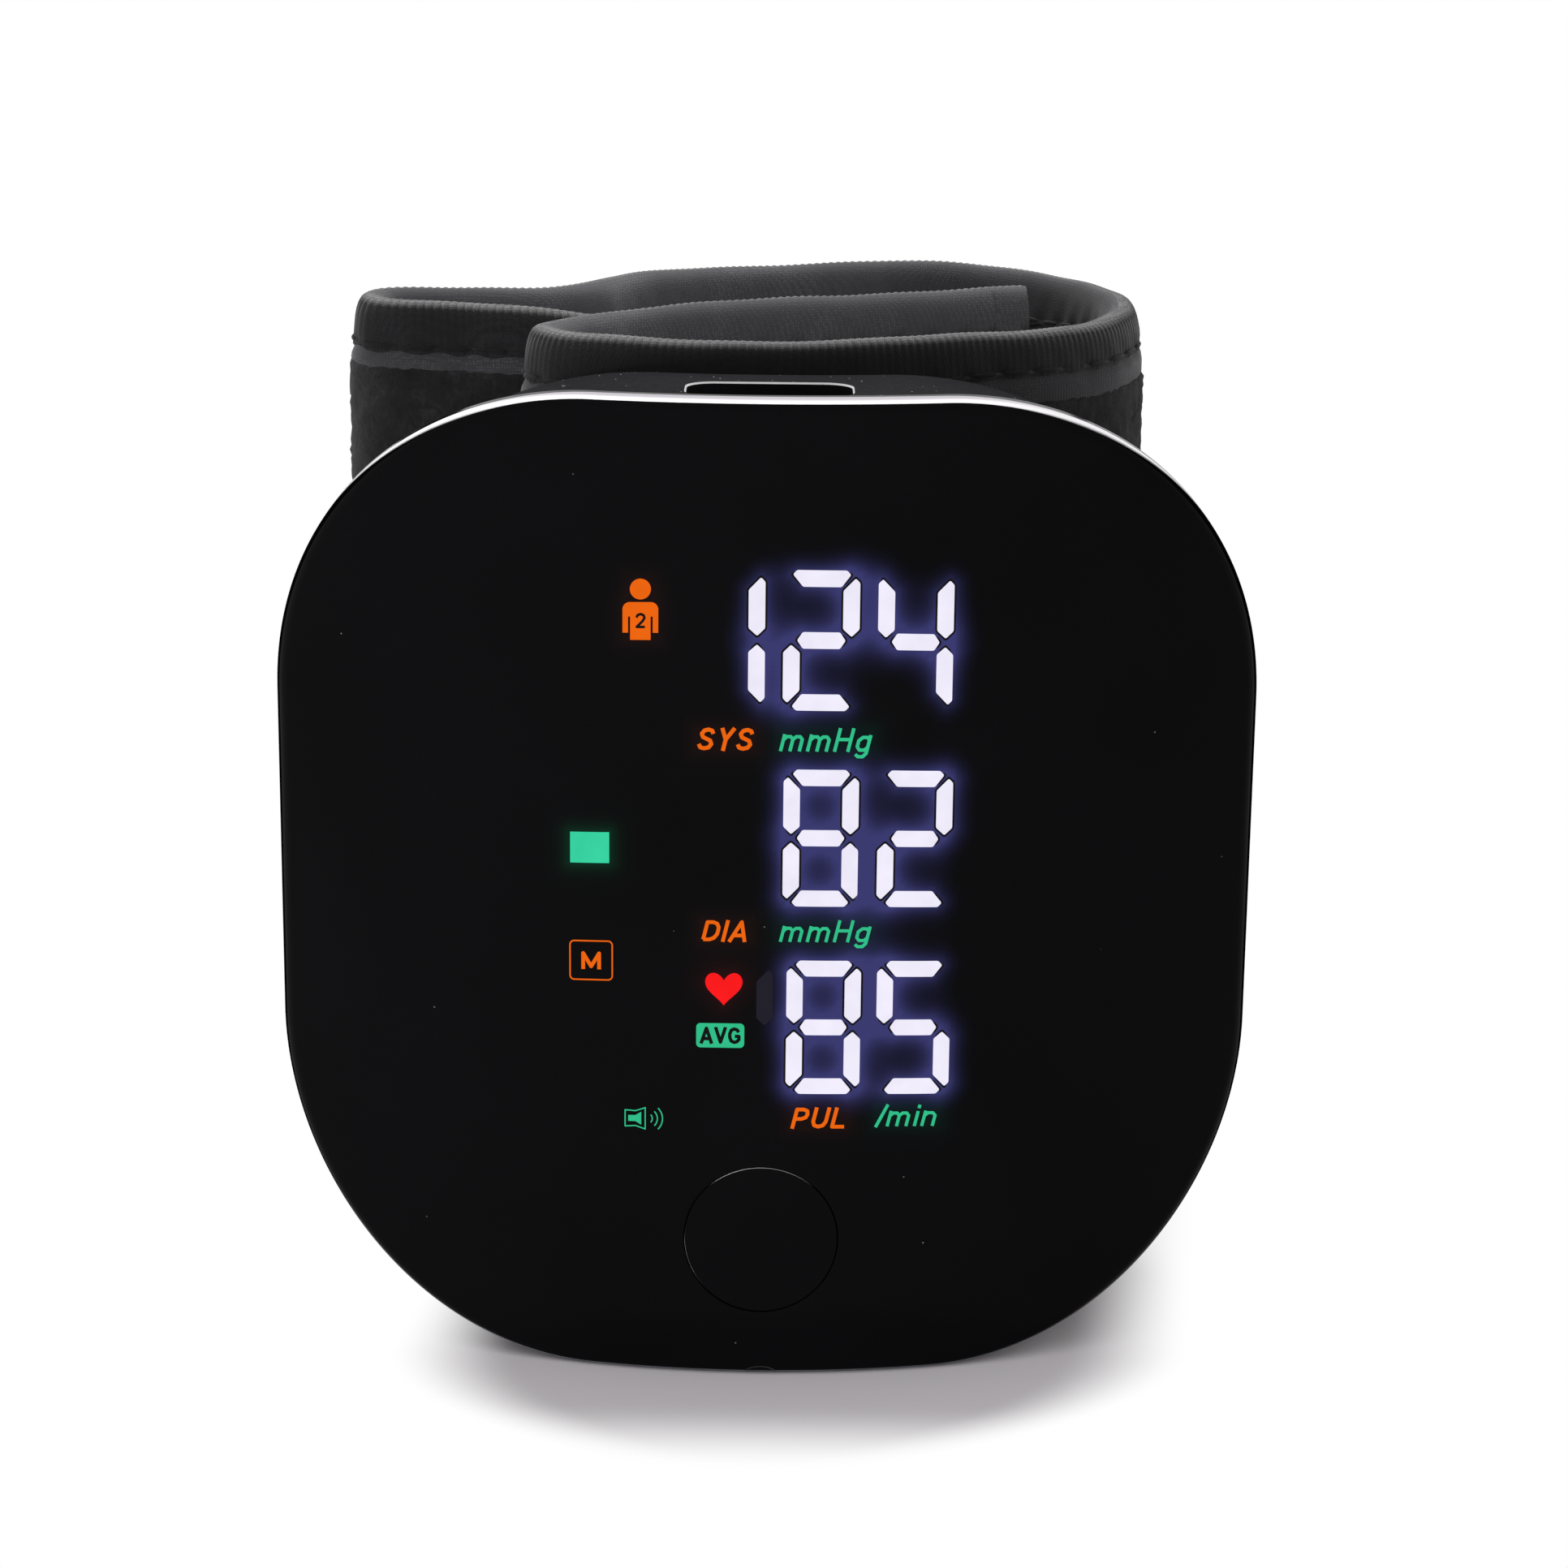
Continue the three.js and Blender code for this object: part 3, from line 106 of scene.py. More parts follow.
# Places read from the frame
lens_low, lens_high = node_box("front_lens")
rear_low, rear_high = node_box("rear_case")
_, tape_high = node_box("cuff_upper_binding")
floor_tape_low, _ = node_box("cuff_lower_binding")
FACE_HALF_WIDTH = lens_high.x
FACE_HALF_HEIGHT = (lens_high.z - lens_low.z) / 2
FACE_MIDDLE = (lens_high.z + lens_low.z) / 2
FACE_FRONT = -cad_high.y / MM
CASE_HALF_WIDTH = rear_high.x
CASE_HALF_HEIGHT = (rear_high.z - rear_low.z) / 2
CUFF_TOP = tape_high.z - FACE_MIDDLE
CUFF_BOTTOM = floor_tape_low.z - FACE_MIDDLE
WALL_MIDDLE = floor_tape_low.y + TAPE_FACE - FACE_FRONT
CASE_DEPTH = WALL_MIDDLE - TAPE_FACE - CUFF_GAP
PLATE_FRONT = LENS_THICKNESS + ADHESIVE
PLATE_BACK = PLATE_FRONT + FRONT_PLATE
PARTING = PLATE_BACK + PARTING_GAP
socket_low, socket_high = node_box("usb_shell")
SOCKET_Y = (socket_low.y + socket_high.y) / 2 - FACE_FRONT
SOCKET_TOP = socket_high.z - FACE_MIDDLE
BUTTON_CENTRE = (0.0, BUTTON_Z)


def front_sag(x):
    return FACE_RADIUS - np.sqrt(FACE_RADIUS**2 - x**2)


def rear_sag(x):
    return REAR_RADIUS - np.sqrt(REAR_RADIUS**2 - x**2)


def smooth_step(low, high, value):
    share = np.clip((value - low) / (high - low), 0.0, 1.0)
    return share * share * (3 - 2 * share)


def place(x, depth, z):
    """A point given by x, depth behind the face and height above the face's middle, in metres."""
    return Vector((x, FACE_FRONT + depth, FACE_MIDDLE + z)) * MM


def face_centre(low, high):
    """Middle of a box, as x and height above the face's middle."""
    return (low.x + high.x) / 2, (low.z + high.z) / 2 - FACE_MIDDLE


# Node helpers for materials
def maths(tree, operation, *inputs):
    """Output of a math node whose inputs are numbers or other outputs."""
    node = tree.nodes.new("ShaderNodeMath")
    node.operation = operation
    for socket, source in zip(node.inputs, inputs):
        if isinstance(source, float):
            socket.default_value = source
        else:
            tree.links.new(source, socket)
    return node.outputs["Value"]


def map_range(tree, source, low, high, start=0.0, stop=1.0, kind="LINEAR"):
    """Output that goes from low to high while its source goes from start to stop."""
    node = tree.nodes.new("ShaderNodeMapRange")
    node.interpolation_type = kind
    for key, value in (("From Min", start), ("From Max", stop), ("To Min", low), ("To Max", high)):
        node.inputs[key].default_value = value
    tree.links.new(source, node.inputs["Value"])
    return node.outputs["Result"]


def split_axes(tree, source):
    node = tree.nodes.new("ShaderNodeSeparateXYZ")
    tree.links.new(source, node.inputs["Vector"])
    return node.outputs


class Shader:
    """A material with its nodes at hand."""

    def __init__(self, name):
        self.material = bpy.data.materials.new(name)
        self.material.use_nodes = True
        self.tree = self.material.node_tree
        self.nodes = self.tree.nodes
        self.bsdf = self.nodes["Principled BSDF"]
        self.place = self.nodes.new("ShaderNodeTexCoord").outputs["Object"]

    def set(self, **values):
        for key, value in values.items():
            self.bsdf.inputs[key.replace("_", " ")].default_value = value

    def link(self, source, target):
        self.tree.links.new(source, target)

    def texture(self, kind, scale, settings):
        node = self.nodes.new(kind)
        self.link(self.place, node.inputs["Vector"])
        node.inputs["Scale"].default_value = scale
        for key, value in settings.items():
            node.inputs[key].default_value = value
        return node.outputs

    def noise(self, scale, **settings):
        return self.texture("ShaderNodeTexNoise", scale, settings)["Fac"]

    def cells(self, scale, **settings):
        return self.texture("ShaderNodeTexVoronoi", scale, settings)

    def ramp(self, source, stops):
        node = self.nodes.new("ShaderNodeValToRGB")
        elements = node.color_ramp.elements
        while len(elements) < len(stops):
            elements.new(0.5)
        for element, (position, colour) in zip(elements, stops):
            element.position = position
            element.color = (*colour, 1.0)
        self.link(source, node.inputs["Fac"])
        return node.outputs["Color"]

    def by_facing(self, axis, stops):
        """Tones by how far the surface faces along an axis of the frame, from -1 to 1."""
        normal = self.nodes.new("ShaderNodeNewGeometry").outputs["Normal"]
        share = map_range(self.tree, split_axes(self.tree, normal)[axis], 0.0, 1.0, start=-1.0)
        return self.ramp(share, [((facing + 1) / 2, colour) for facing, colour in stops])

    def mix(self, kind, first, second):
        node = self.nodes.new("ShaderNodeMix")
        node.data_type = "RGBA"
        node.blend_type = kind
        node.inputs["Factor"].default_value = 1.0
        self.link(first, node.inputs["A"])
        self.link(second, node.inputs["B"])
        return node.outputs["Result"]

    def colour(self, source):
        self.link(source, self.bsdf.inputs["Base Color"])

    def light(self, source):
        self.link(source, self.bsdf.inputs["Emission Color"])
        self.set(Emission_Strength=1.0)

    def roughness(self, source, low, high):
        self.link(map_range(self.tree, source, low, high), self.bsdf.inputs["Roughness"])

    def bump(self, source, strength, distance):
        node = self.nodes.new("ShaderNodeBump")
        node.inputs["Strength"].default_value = strength
        node.inputs["Distance"].default_value = distance
        self.link(source, node.inputs["Height"])
        self.link(node.outputs["Normal"], self.bsdf.inputs["Normal"])


def grey(level, tint=0.0):
    return (level, level, level * (1.0 + tint))


def smoked_glass(name):
    """Near-black glass with slight smears and a few specks of dust."""
    shader = Shader(name)
    smear = shader.noise(60.0, Detail=4.0)
    dust = shader.cells(260.0)["Distance"]
    base = shader.ramp(smear, [(0.3, grey(0.0023, 0.1)), (0.8, grey(0.0029, 0.14))])
    speck = shader.ramp(dust, [(0.011, grey(0.1)), (0.018, grey(0.0))])
    shader.colour(shader.mix("ADD", base, speck))
    shader.roughness(smear, 0.04, 0.09)
    shader.set(Specular_IOR_Level=0.012)
    return shader


def lens_rim():
    """Polished edge, its colour painted by the way it faces: a painted highlight where it faces up, painted
    dark at the sides and a dull painted reflection at the lower corners.
    """
    shader = Shader("lens_rim")
    stops = [
        (-0.92, grey(0.001)), (-0.8, grey(0.1, 0.15)), (-0.45, grey(0.08, 0.15)), (-0.3, grey(0.001)),
        (0.58, grey(0.001)), (0.74, (0.9, 0.89, 0.9)), (0.9, (0.82, 0.8, 0.82)), (1.0, (0.5, 0.48, 0.51)),
    ]
    shader.colour(shader.by_facing("Z", stops))
    shader.roughness(shader.noise(300.0, Detail=2.0), 0.4, 0.6)
    shader.set(Specular_IOR_Level=0.0)
    return shader.material


def button_edge():
    """Edge of the button, with a thin painted highlight where it faces up and a faint painted one low on the
    left.
    """
    shader = Shader("button_edge")
    above = shader.by_facing("Z", [(0.72, grey(0.002)), (0.88, grey(0.7))])
    low_stops = [(-0.6, grey(0.0)), (-0.45, grey(1.0)), (-0.06, grey(1.0)), (0.06, grey(0.0))]
    low = shader.by_facing("Z", low_stops)
    left = shader.by_facing("X", [(-0.6, grey(0.16)), (-0.3, grey(0.0))])
    shader.colour(shader.mix("ADD", above, shader.mix("MULTIPLY", low, left)))
    shader.roughness(shader.noise(300.0, Detail=2.0), 0.3, 0.5)
    shader.set(Specular_IOR_Level=0.02)
    return shader.material


def case_plastic():
    """Moulded grain with faint clouds, and dust on what faces up."""
    shader = Shader("case_plastic")
    grain = shader.noise(2600.0, Detail=3.0, Roughness=0.6)
    cloud = shader.noise(90.0, Detail=3.0)
    dust = shader.cells(1500.0)
    base = shader.ramp(cloud, [(0.3, grey(0.009, 0.14)), (0.7, grey(0.014, 0.14))])
    speck = shader.ramp(dust["Distance"], [(0.07, grey(0.8)), (0.1, grey(0.0))])
    few = shader.ramp(dust["Color"], [(0.5, grey(0.0)), (0.7, grey(1.0))])
    above = shader.by_facing("Z", [(0.8, grey(0.0)), (0.96, grey(1.0))])
    speck = shader.mix("MULTIPLY", speck, shader.mix("MULTIPLY", few, above))
    shader.colour(shader.mix("ADD", base, speck))
    shader.roughness(grain, 0.45, 0.75)
    shader.bump(grain, 0.25, 0.00006)
    shader.set(Specular_IOR_Level=0.008)
    return shader.material


def plain(name, dark, light, scale, rough, **values):
    """A moulded or plated finish with a slight change of tone and roughness over the surface."""
    shader = Shader(name)
    cloud = shader.noise(scale, Detail=3.0)
    shader.colour(shader.ramp(cloud, [(0.3, dark), (0.7, light)]))
    shader.roughness(cloud, rough * 0.8, rough * 1.2)
    shader.bump(cloud, 0.05, 0.0001)
    shader.set(**values)
    return shader.material


def woven(name, dark, light, pitch, sheen, bump, crest=0.0, painted_shade=()):
    """Woven cloth: cells of thread with a change of tone, and a painted highlight on a crest that faces up.

    The last argument lists an axis and the share of the tone kept by how far the cloth faces along it:
    painted shade by the way the cloth faces."""
    shader = Shader(name)
    cloud = shader.noise(160.0, Detail=4.0)
    threads = shader.cells(1.0 / (pitch * MM), Randomness=0.35)["Distance"]
    tone = shader.ramp(maths(shader.tree, "ADD", cloud, threads), [(0.45, light), (1.0, dark)])
    # Painted shade by the way the cloth faces
    for axis, stops in painted_shade:
        kept = shader.by_facing(axis, [(facing, grey(share)) for facing, share in stops])
        tone = shader.mix("MULTIPLY", tone, kept)
    # Painted highlight on a crest that faces up, broken by the threads
    if crest:
        grain = shader.ramp(threads, [(0.1, grey(1.0)), (0.7, grey(0.35))])
        pale = shader.by_facing("Z", [(0.55, grey(0.0)), (0.95, grey(crest))])
        tone = shader.mix("ADD", tone, shader.mix("MULTIPLY", grain, pale))
    shader.colour(tone)
    shader.bump(threads, bump, -0.0001)
    shader.set(Roughness=0.9, Specular_IOR_Level=0.2, Sheen_Weight=sheen, Sheen_Roughness=0.45)
    return shader.material


def pile():
    """Brushed loop cloth: matted tufts over a dark ground."""
    shader = Shader("loop_pile")
    tufts = shader.noise(900.0, Detail=6.0, Roughness=0.75, Distortion=1.5)
    patches = shader.noise(220.0, Detail=3.0)
    stops = [(0.12, grey(0.003)), (0.3, grey(0.008, 0.06)), (0.45, grey(0.022, 0.06))]
    shader.colour(shader.ramp(maths(shader.tree, "MULTIPLY", tufts, patches), stops))
    shader.bump(tufts, 0.8, 0.00025)
    shader.set(Roughness=1.0, Specular_IOR_Level=0.1, Sheen_Weight=0.08, Sheen_Roughness=0.6)
    return shader.material


def lit(name, colour):
    """A lit mark of the display: its own light over a dark ground."""
    shader = Shader(name)
    low = tuple(c * 0.92 for c in colour)
    shader.light(shader.ramp(shader.noise(500.0, Detail=2.0), [(0.3, low), (0.7, colour)]))
    shader.set(Base_Color=(0.0, 0.0, 0.0, 1.0), Specular_IOR_Level=0.05)
    return shader.material


def srgb(*levels):
    """Linear colour from display levels of 0 to 255."""
    return tuple(((v / 255 + 0.055) / 1.055) ** 2.4 if v > 10 else v / 255 / 12.92 for v in levels)


LENS_BLACK = smoked_glass("lens_black").material
LENS_RIM = lens_rim()
CASE_PLASTIC = case_plastic()
BUTTON_BLACK = plain(
    "button_black", grey(0.0023, 0.1), grey(0.0029, 0.14), 60.0, 0.12, Specular_IOR_Level=0.012
)
BUTTON_EDGE = button_edge()
# Painted highlight: pale grey for the well's chamfer, which is cut in the dark case plastic
PAINTED_BEVEL_HIGHLIGHT = plain("bevel_painted_highlight", grey(0.62), grey(0.75), 500.0, 0.35, Specular_IOR_Level=0.3)
NOTCH = plain("notch_worn", grey(0.03), grey(0.045), 900.0, 0.6, Specular_IOR_Level=0.02)
STEEL = plain("steel", grey(0.45), grey(0.6), 800.0, 0.3, Metallic=1.0)
DARK_STEEL = plain("dark_steel", grey(0.10), grey(0.16), 800.0, 0.35, Metallic=1.0)
GOLD = plain("contact_gold", (0.6, 0.42, 0.16), (0.75, 0.55, 0.22), 900.0, 0.3, Metallic=1.0)
MOULDED_BLACK = plain("moulded_black", grey(0.008), grey(0.014), 500.0, 0.5)
BOARD_GREEN = plain("board_green", (0.012, 0.06, 0.022), (0.018, 0.09, 0.032), 700.0, 0.45)
FOIL = plain("battery_foil", grey(0.42), grey(0.52), 200.0, 0.4, Metallic=0.7)
CLEAR_TUBE = plain("tube_silicone", grey(0.5), grey(0.6), 300.0, 0.4)
FITTING = plain("fitting_white", grey(0.6), grey(0.68), 300.0, 0.5)
FILM = plain("bladder_film", (0.09, 0.1, 0.12), (0.11, 0.12, 0.15), 200.0, 0.5)
# Painted shade: the tape is darker where it faces left, the lining where it faces left and where it faces up
TAPE_PAINTED_SHADE = [("X", [(-0.9, 0.45), (-0.3, 1.0)])]
LINING_PAINTED_SHADE = [("X", [(-0.8, 0.38), (0.0, 0.88), (0.8, 1.0)]), ("Z", [(0.3, 1.0), (0.9, 0.75)])]
# The tape takes a painted highlight on its crest
TAPE = woven("binding_tape", grey(0.007, 0.08), grey(0.018, 0.1), 0.16, 0.12, 0.3, 0.23, TAPE_PAINTED_SHADE)
SHELL_CLOTH = woven("shell_cloth", grey(0.024, 0.08), grey(0.06, 0.08), 0.22, 0.2, 0.4)
LINING_CLOTH = woven("lining_cloth", grey(0.125, 0.06), grey(0.24, 0.06), 0.2, 0.12, 0.2, painted_shade=LINING_PAINTED_SHADE)
HOOK_TAPE = woven("hook_tape", grey(0.008), grey(0.024), 0.5, 0.06, 0.8)
THREAD = woven("stitch_thread", grey(0.005), grey(0.012), 0.1, 0.1, 0.3)
LOOP_PILE = pile()


# Mesh helpers: shapes are built in millimetres as (x, depth, z) and placed at the end
def outline(half_width, half_height, corner, corner_steps=28, edge_steps=8):
    """Rounded rectangle as (x, z) pairs, anticlockwise seen from the front."""
    points = []
    span_x = half_width - corner
    span_z = half_height - corner
    centres = [(span_x, span_z), (-span_x, span_z), (-span_x, -span_z), (span_x, -span_z)]
    for quarter, (x, z) in enumerate(centres):
        for step in range(corner_steps + 1):
            angle = (quarter + step / corner_steps) * math.pi / 2
            points.append((x + corner * math.cos(angle), z + corner * math.sin(angle)))
        end = Vector(points[-1])
        turn = (quarter + 1) * math.pi / 2
        next_x, next_z = centres[(quarter + 1) % 4]
        start = Vector((next_x + corner * math.cos(turn), next_z + corner * math.sin(turn)))
        if (start - end).length > 1e-6:
            points.extend(tuple(end.lerp(start, step / edge_steps)) for step in range(1, edge_steps))
    return points


def circle(radius, x, z, count=96):
    turns = [2 * math.pi * k / count for k in range(count)]
    return [(x + radius * math.cos(t), z + radius * math.sin(t)) for t in turns]


def arc(x, z, radius, start, stop, steps=12):
    turns = [math.radians(start + (stop - start) * k / steps) for k in range(steps + 1)]
    return [(x + radius * math.cos(t), z + radius * math.sin(t)) for t in turns]


def rectangle(left, right, base, top):
    return [(left, base), (right, base), (right, top), (left, top)]


ROUND_STEPS = 12


def quarter_round(radius):
    """Insets and depths of a rounded edge, from the face to the side."""
    turns = [step / ROUND_STEPS * math.pi / 2 for step in range(ROUND_STEPS + 1)]
    return [(radius * (1 - math.sin(turn)), radius * (1 - math.cos(turn))) for turn in turns]


def add_ring(shape, points, depth):
    return [shape.verts.new((x, depth, z)) for x, z in points]


def turned_rings(shape, profile, centre, count=96):
    """Rings about a line along the depth, from (radius, depth) pairs."""
    return [add_ring(shape, circle(radius, *centre, count), depth) for radius, depth in profile]


def join_strips(shape, rings, polished=()):
    """Strips between the rings of a row, those listed in the last argument in the second material, which
    carries painted light.
    """
    for index, (first, second) in enumerate(zip(rings, rings[1:])):
        for k in range(len(first)):
            after = (k + 1) % len(first)
            face = shape.faces.new((first[k], first[after], second[after], second[k]))
            face.material_index = 1 if index in polished else 0


def close_rings(shape, rings, polished=()):
    """Solid skin through a row of rings, with its ends closed."""
    join_strips(shape, rings, polished)
    shape.faces.new(rings[0])
    shape.faces.new(rings[-1])


def fill_between(shape, outer, hole):
    """Flat face between an outer ring and a hole in it."""
    pairs = [pair for ring in (outer, hole) for pair in zip(ring, ring[1:] + ring[:1])]
    edges = [shape.edges.get(pair) for pair in pairs]
    bmesh.ops.triangle_fill(shape, use_beauty=True, use_dissolve=False, edges=edges)


def slice_upright(shape, half_width, step):
    """Cuts a flat shape into upright strips, so that it can be bent about an upright axis."""
    count = int(half_width / step)
    for k in range(-count, count + 1):
        geometry = shape.verts[:] + shape.edges[:] + shape.faces[:]
        bmesh.ops.bisect_plane(
            shape, geom=geometry, dist=1e-4, plane_co=(k * step, 0, 0), plane_no=(1, 0, 0)
        )


def bend_front(shape, half_width, step):
    """Bends a flat shape like the face, in upright strips."""
    slice_upright(shape, half_width, step)
    for vert in shape.verts:
        vert.co.y += front_sag(vert.co.x)


HARD_ANGLE = math.radians(35.0)
SOFT_ANGLE = math.radians(60.0)


def add_object(name, mesh, materials, body, smooth_angle, weighted=False):
    """Object in the scene that rides on a body, where it has one."""
    for material in materials:
        mesh.materials.append(material)
    mesh.shade_smooth()
    mesh.set_sharp_from_angle(angle=smooth_angle)
    piece = bpy.data.objects.new(name, mesh)
    bpy.context.scene.collection.objects.link(piece)
    if weighted:
        weigh_normals(piece)
    if body:
        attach(piece, body)
    return piece


def weigh_normals(piece):
    piece.modifiers.new("normals", "WEIGHTED_NORMAL").keep_sharp = True


def finish_piece(name, shape, materials, body, weighted=True):
    """Turns a shape in millimetres into a placed object that rides on a body."""
    bmesh.ops.remove_doubles(shape, verts=shape.verts[:], dist=1e-4)
    bmesh.ops.recalc_face_normals(shape, faces=shape.faces[:])
    for vert in shape.verts:
        vert.co = place(*vert.co)
    mesh = bpy.data.meshes.new(name)
    shape.to_mesh(mesh)
    shape.free()
    return add_object(name, mesh, materials, body, HARD_ANGLE, weighted)


def cut(piece, cutter_shape, finish=()):
    """Cuts a placed piece with a shape in millimetres, whose faces may bring finishes of their own."""
    cutter = finish_piece("cutter", cutter_shape, [piece.data.materials[0], *finish], None, weighted=False)
    modifier = piece.modifiers.new("cut", "BOOLEAN")
    modifier.operation = "DIFFERENCE"
    modifier.solver = "EXACT"
    modifier.material_mode = "TRANSFER"
    modifier.object = cutter
    graph = bpy.context.evaluated_depsgraph_get()
    made = bpy.data.meshes.new_from_object(piece.evaluated_get(graph))
    piece.modifiers.clear()
    piece.data = made
    made.name = piece.name
    made.set_sharp_from_angle(angle=HARD_ANGLE)
    weigh_normals(piece)
    bpy.data.objects.remove(cutter)


# Front lens: black glass with a polished edge that carries painted light, bored for the button
LENS_STEPS = 72
LENS_STRIP = 1.0
# Strips from the middle of the rounded edge round to the rim's back take the rim's painted light
RIM_START = 6
RIM_STRIPS = range(1 + RIM_START, ROUND_STEPS + 2)
RIM_BACK = (1.75, 1.25)
RIM_TAPER = (9.0, 20.0)
FACE_MARGIN = 0.4
BORE_EDGE = 0.04
BORE_RADIUS = BUTTON_RADIUS + 0.07
EDGE_MIDDLE = 0.3


def front_lens():
    shape = bmesh.new()

    def ring(inset, depth):
        half_width, half_height, corner = (
            size - inset for size in (FACE_HALF_WIDTH, FACE_HALF_HEIGHT, FACE_CORNER)
        )
        return add_ring(shape, outline(half_width, half_height, corner, LENS_STEPS), depth)

    levels = [(LENS_EDGE + FACE_MARGIN, 0.0), *quarter_round(LENS_EDGE)]
    levels += [(0.0, RIM_BACK[0]), (0.0, LENS_THICKNESS)]
    rings = [ring(inset, depth) for inset, depth in levels]
    # The rim's painted light reaches less far back away from the middle
    for vert in rings[-2]:
        vert.co.y += (RIM_BACK[1] - RIM_BACK[0]) * smooth_step(*RIM_TAPER, abs(vert.co.x))
    join_strips(shape, rings, RIM_STRIPS)
    profile = [
        (BORE_RADIUS + BORE_EDGE + FACE_MARGIN, 0.0),
        (BORE_RADIUS + BORE_EDGE, 0.0),
        (BORE_RADIUS + BORE_EDGE * EDGE_MIDDLE, BORE_EDGE * EDGE_MIDDLE),
        (BORE_RADIUS, BORE_EDGE),
        (BORE_RADIUS, LENS_THICKNESS),
    ]
    bore = turned_rings(shape, profile, BUTTON_CENTRE)
    join_strips(shape, bore)
    for end in (0, -1):
        fill_between(shape, rings[end], bore[end])
    bend_front(shape, FACE_HALF_WIDTH, LENS_STRIP)
    piece = finish_piece("lens", shape, [LENS_BLACK, LENS_RIM], "monitor")
    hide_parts("front_lens")


NOTCH_HALF = (1.05, 0.5)
NOTCH_CENTRE = (0.05, -34.82)
NOTCH_PROUD = 0.02
NOTCH_SINK = 0.15
NOTCH_STRIP = 0.2


def pry_notch():
    """Small worn half-round on the lens's lower edge."""
    shape = bmesh.new()
    points = [
        (NOTCH_CENTRE[0] + NOTCH_HALF[0] * x, NOTCH_CENTRE[1] + NOTCH_HALF[1] * z)
        for x, z in arc(0.0, 0.0, 1.0, 0, 180, 24)
    ]
    edge_start = LENS_EDGE - FACE_HALF_HEIGHT
    falls = [LENS_EDGE - math.sqrt(LENS_EDGE**2 - max(0.0, edge_start - z) ** 2) for _, z in points]
    close_rings(shape, [
        [shape.verts.new((x, fall + depth, z)) for (x, z), fall in zip(points, falls)]
        for depth in (-NOTCH_PROUD, NOTCH_SINK)
    ])
    bend_front(shape, NOTCH_HALF[0], NOTCH_STRIP)
    piece = finish_piece("pry_notch", shape, [NOTCH], "monitor")


# Start button, flush with the lens
BUTTON_ROUND = 0.07
BUTTON_DEPTH = 5.2
BUTTON_STRIP = 0.8
FLANGE_RADIUS = 6.4
FLANGE_GAP = 0.3
FLANGE_THICKNESS = 0.35


def start_button():
    shape = bmesh.new()
    flange_front = BUTTON_DEPTH + FLANGE_GAP
    profile = [
        (BUTTON_RADIUS - BUTTON_ROUND, 0.0),
        (BUTTON_RADIUS - BUTTON_ROUND * EDGE_MIDDLE, BUTTON_ROUND * EDGE_MIDDLE),
        (BUTTON_RADIUS, BUTTON_ROUND),
        (BUTTON_RADIUS, flange_front),
        (FLANGE_RADIUS, flange_front),
        (FLANGE_RADIUS, flange_front + FLANGE_THICKNESS),
    ]
    # The rounded edge strips take the button edge's painted highlight
    close_rings(shape, turned_rings(shape, profile, BUTTON_CENTRE), polished=(0, 1))
    bend_front(shape, FLANGE_RADIUS, BUTTON_STRIP)
    piece = finish_piece("start_button_cap", shape, [BUTTON_BLACK, BUTTON_EDGE], "start_button")
    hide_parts("button_cap")


# Case: front shell, adhesive bed and rear shell
EDGE_BREAK = 0.25
BED_INSET = 1.2
BED_BREAK = 0.05
PLATE_STRIP = 2.0
REAR_STRIP = 1.5
SHELL_BORE = BUTTON_RADIUS + 2 * BUTTON_GAP
BED_BORE = BUTTON_RADIUS + 4 * BUTTON_GAP


def case_outline(inset):
    return outline(CASE_HALF_WIDTH - inset, CASE_HALF_HEIGHT - inset, CASE_CORNER - inset)


def bored_plate(name, inset, front, back, edge_break, bore_radius, material):
    """Plate between two depths, bent like the face and bored for the button."""
    shape = bmesh.new()
    levels = [(edge_break, front), (0.0, front + edge_break), (0.0, back - edge_break), (edge_break, back)]
    rings = [add_ring(shape, case_outline(inset + edge), depth) for edge, depth in levels]
    bore = turned_rings(shape, [(bore_radius, front), (bore_radius, back)], BUTTON_CENTRE)
    join_strips(shape, rings)
    join_strips(shape, bore)
    for end in (0, -1):
        fill_between(shape, rings[end], bore[end])
    bend_front(shape, CASE_HALF_WIDTH, PLATE_STRIP)
    return finish_piece(name, shape, [material], "monitor")


def front_shell():
    piece = bored_plate("front_shell", 0.0, PLATE_FRONT, PLATE_BACK, EDGE_BREAK, SHELL_BORE, CASE_PLASTIC)
    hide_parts("front_case")


def adhesive_bed():
    levels = (LENS_THICKNESS, PLATE_FRONT)
    piece = bored_plate("adhesive_bed", BED_INSET, *levels, BED_BREAK, BED_BORE, MOULDED_BLACK)


def rear_shell():
    shape = bmesh.new()
    depth = CASE_DEPTH - PARTING
    inner_edge = REAR_EDGE - WALL / 2
    levels = [(WALL + inner_edge, depth - WALL), (WALL, depth - WALL - inner_edge), (WALL, 0.0)]
    levels += [(EDGE_BREAK, 0.0), (0.0, EDGE_BREAK), (0.0, depth - REAR_EDGE)]
    levels += [(inset, depth - fall) for inset, fall in quarter_round(REAR_EDGE)[-2::-1]]
    close_rings(shape, [add_ring(shape, case_outline(inset), run) for inset, run in levels])
    slice_upright(shape, CASE_HALF_WIDTH, REAR_STRIP)
    for vert in shape.verts:
        share = min(max(vert.co.y / depth, 0.0), 1.0)
        sag = (1 - share) * front_sag(vert.co.x) + share * rear_sag(vert.co.x)
        vert.co.y += PARTING + sag
    piece = finish_piece("rear_shell", shape, [CASE_PLASTIC], "monitor", weighted=False)
    # The well's chamfer brings its painted highlight with the cut
    cut(piece, rear_cutters(), [PAINTED_BEVEL_HIGHLIGHT])
    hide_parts("rear_case")


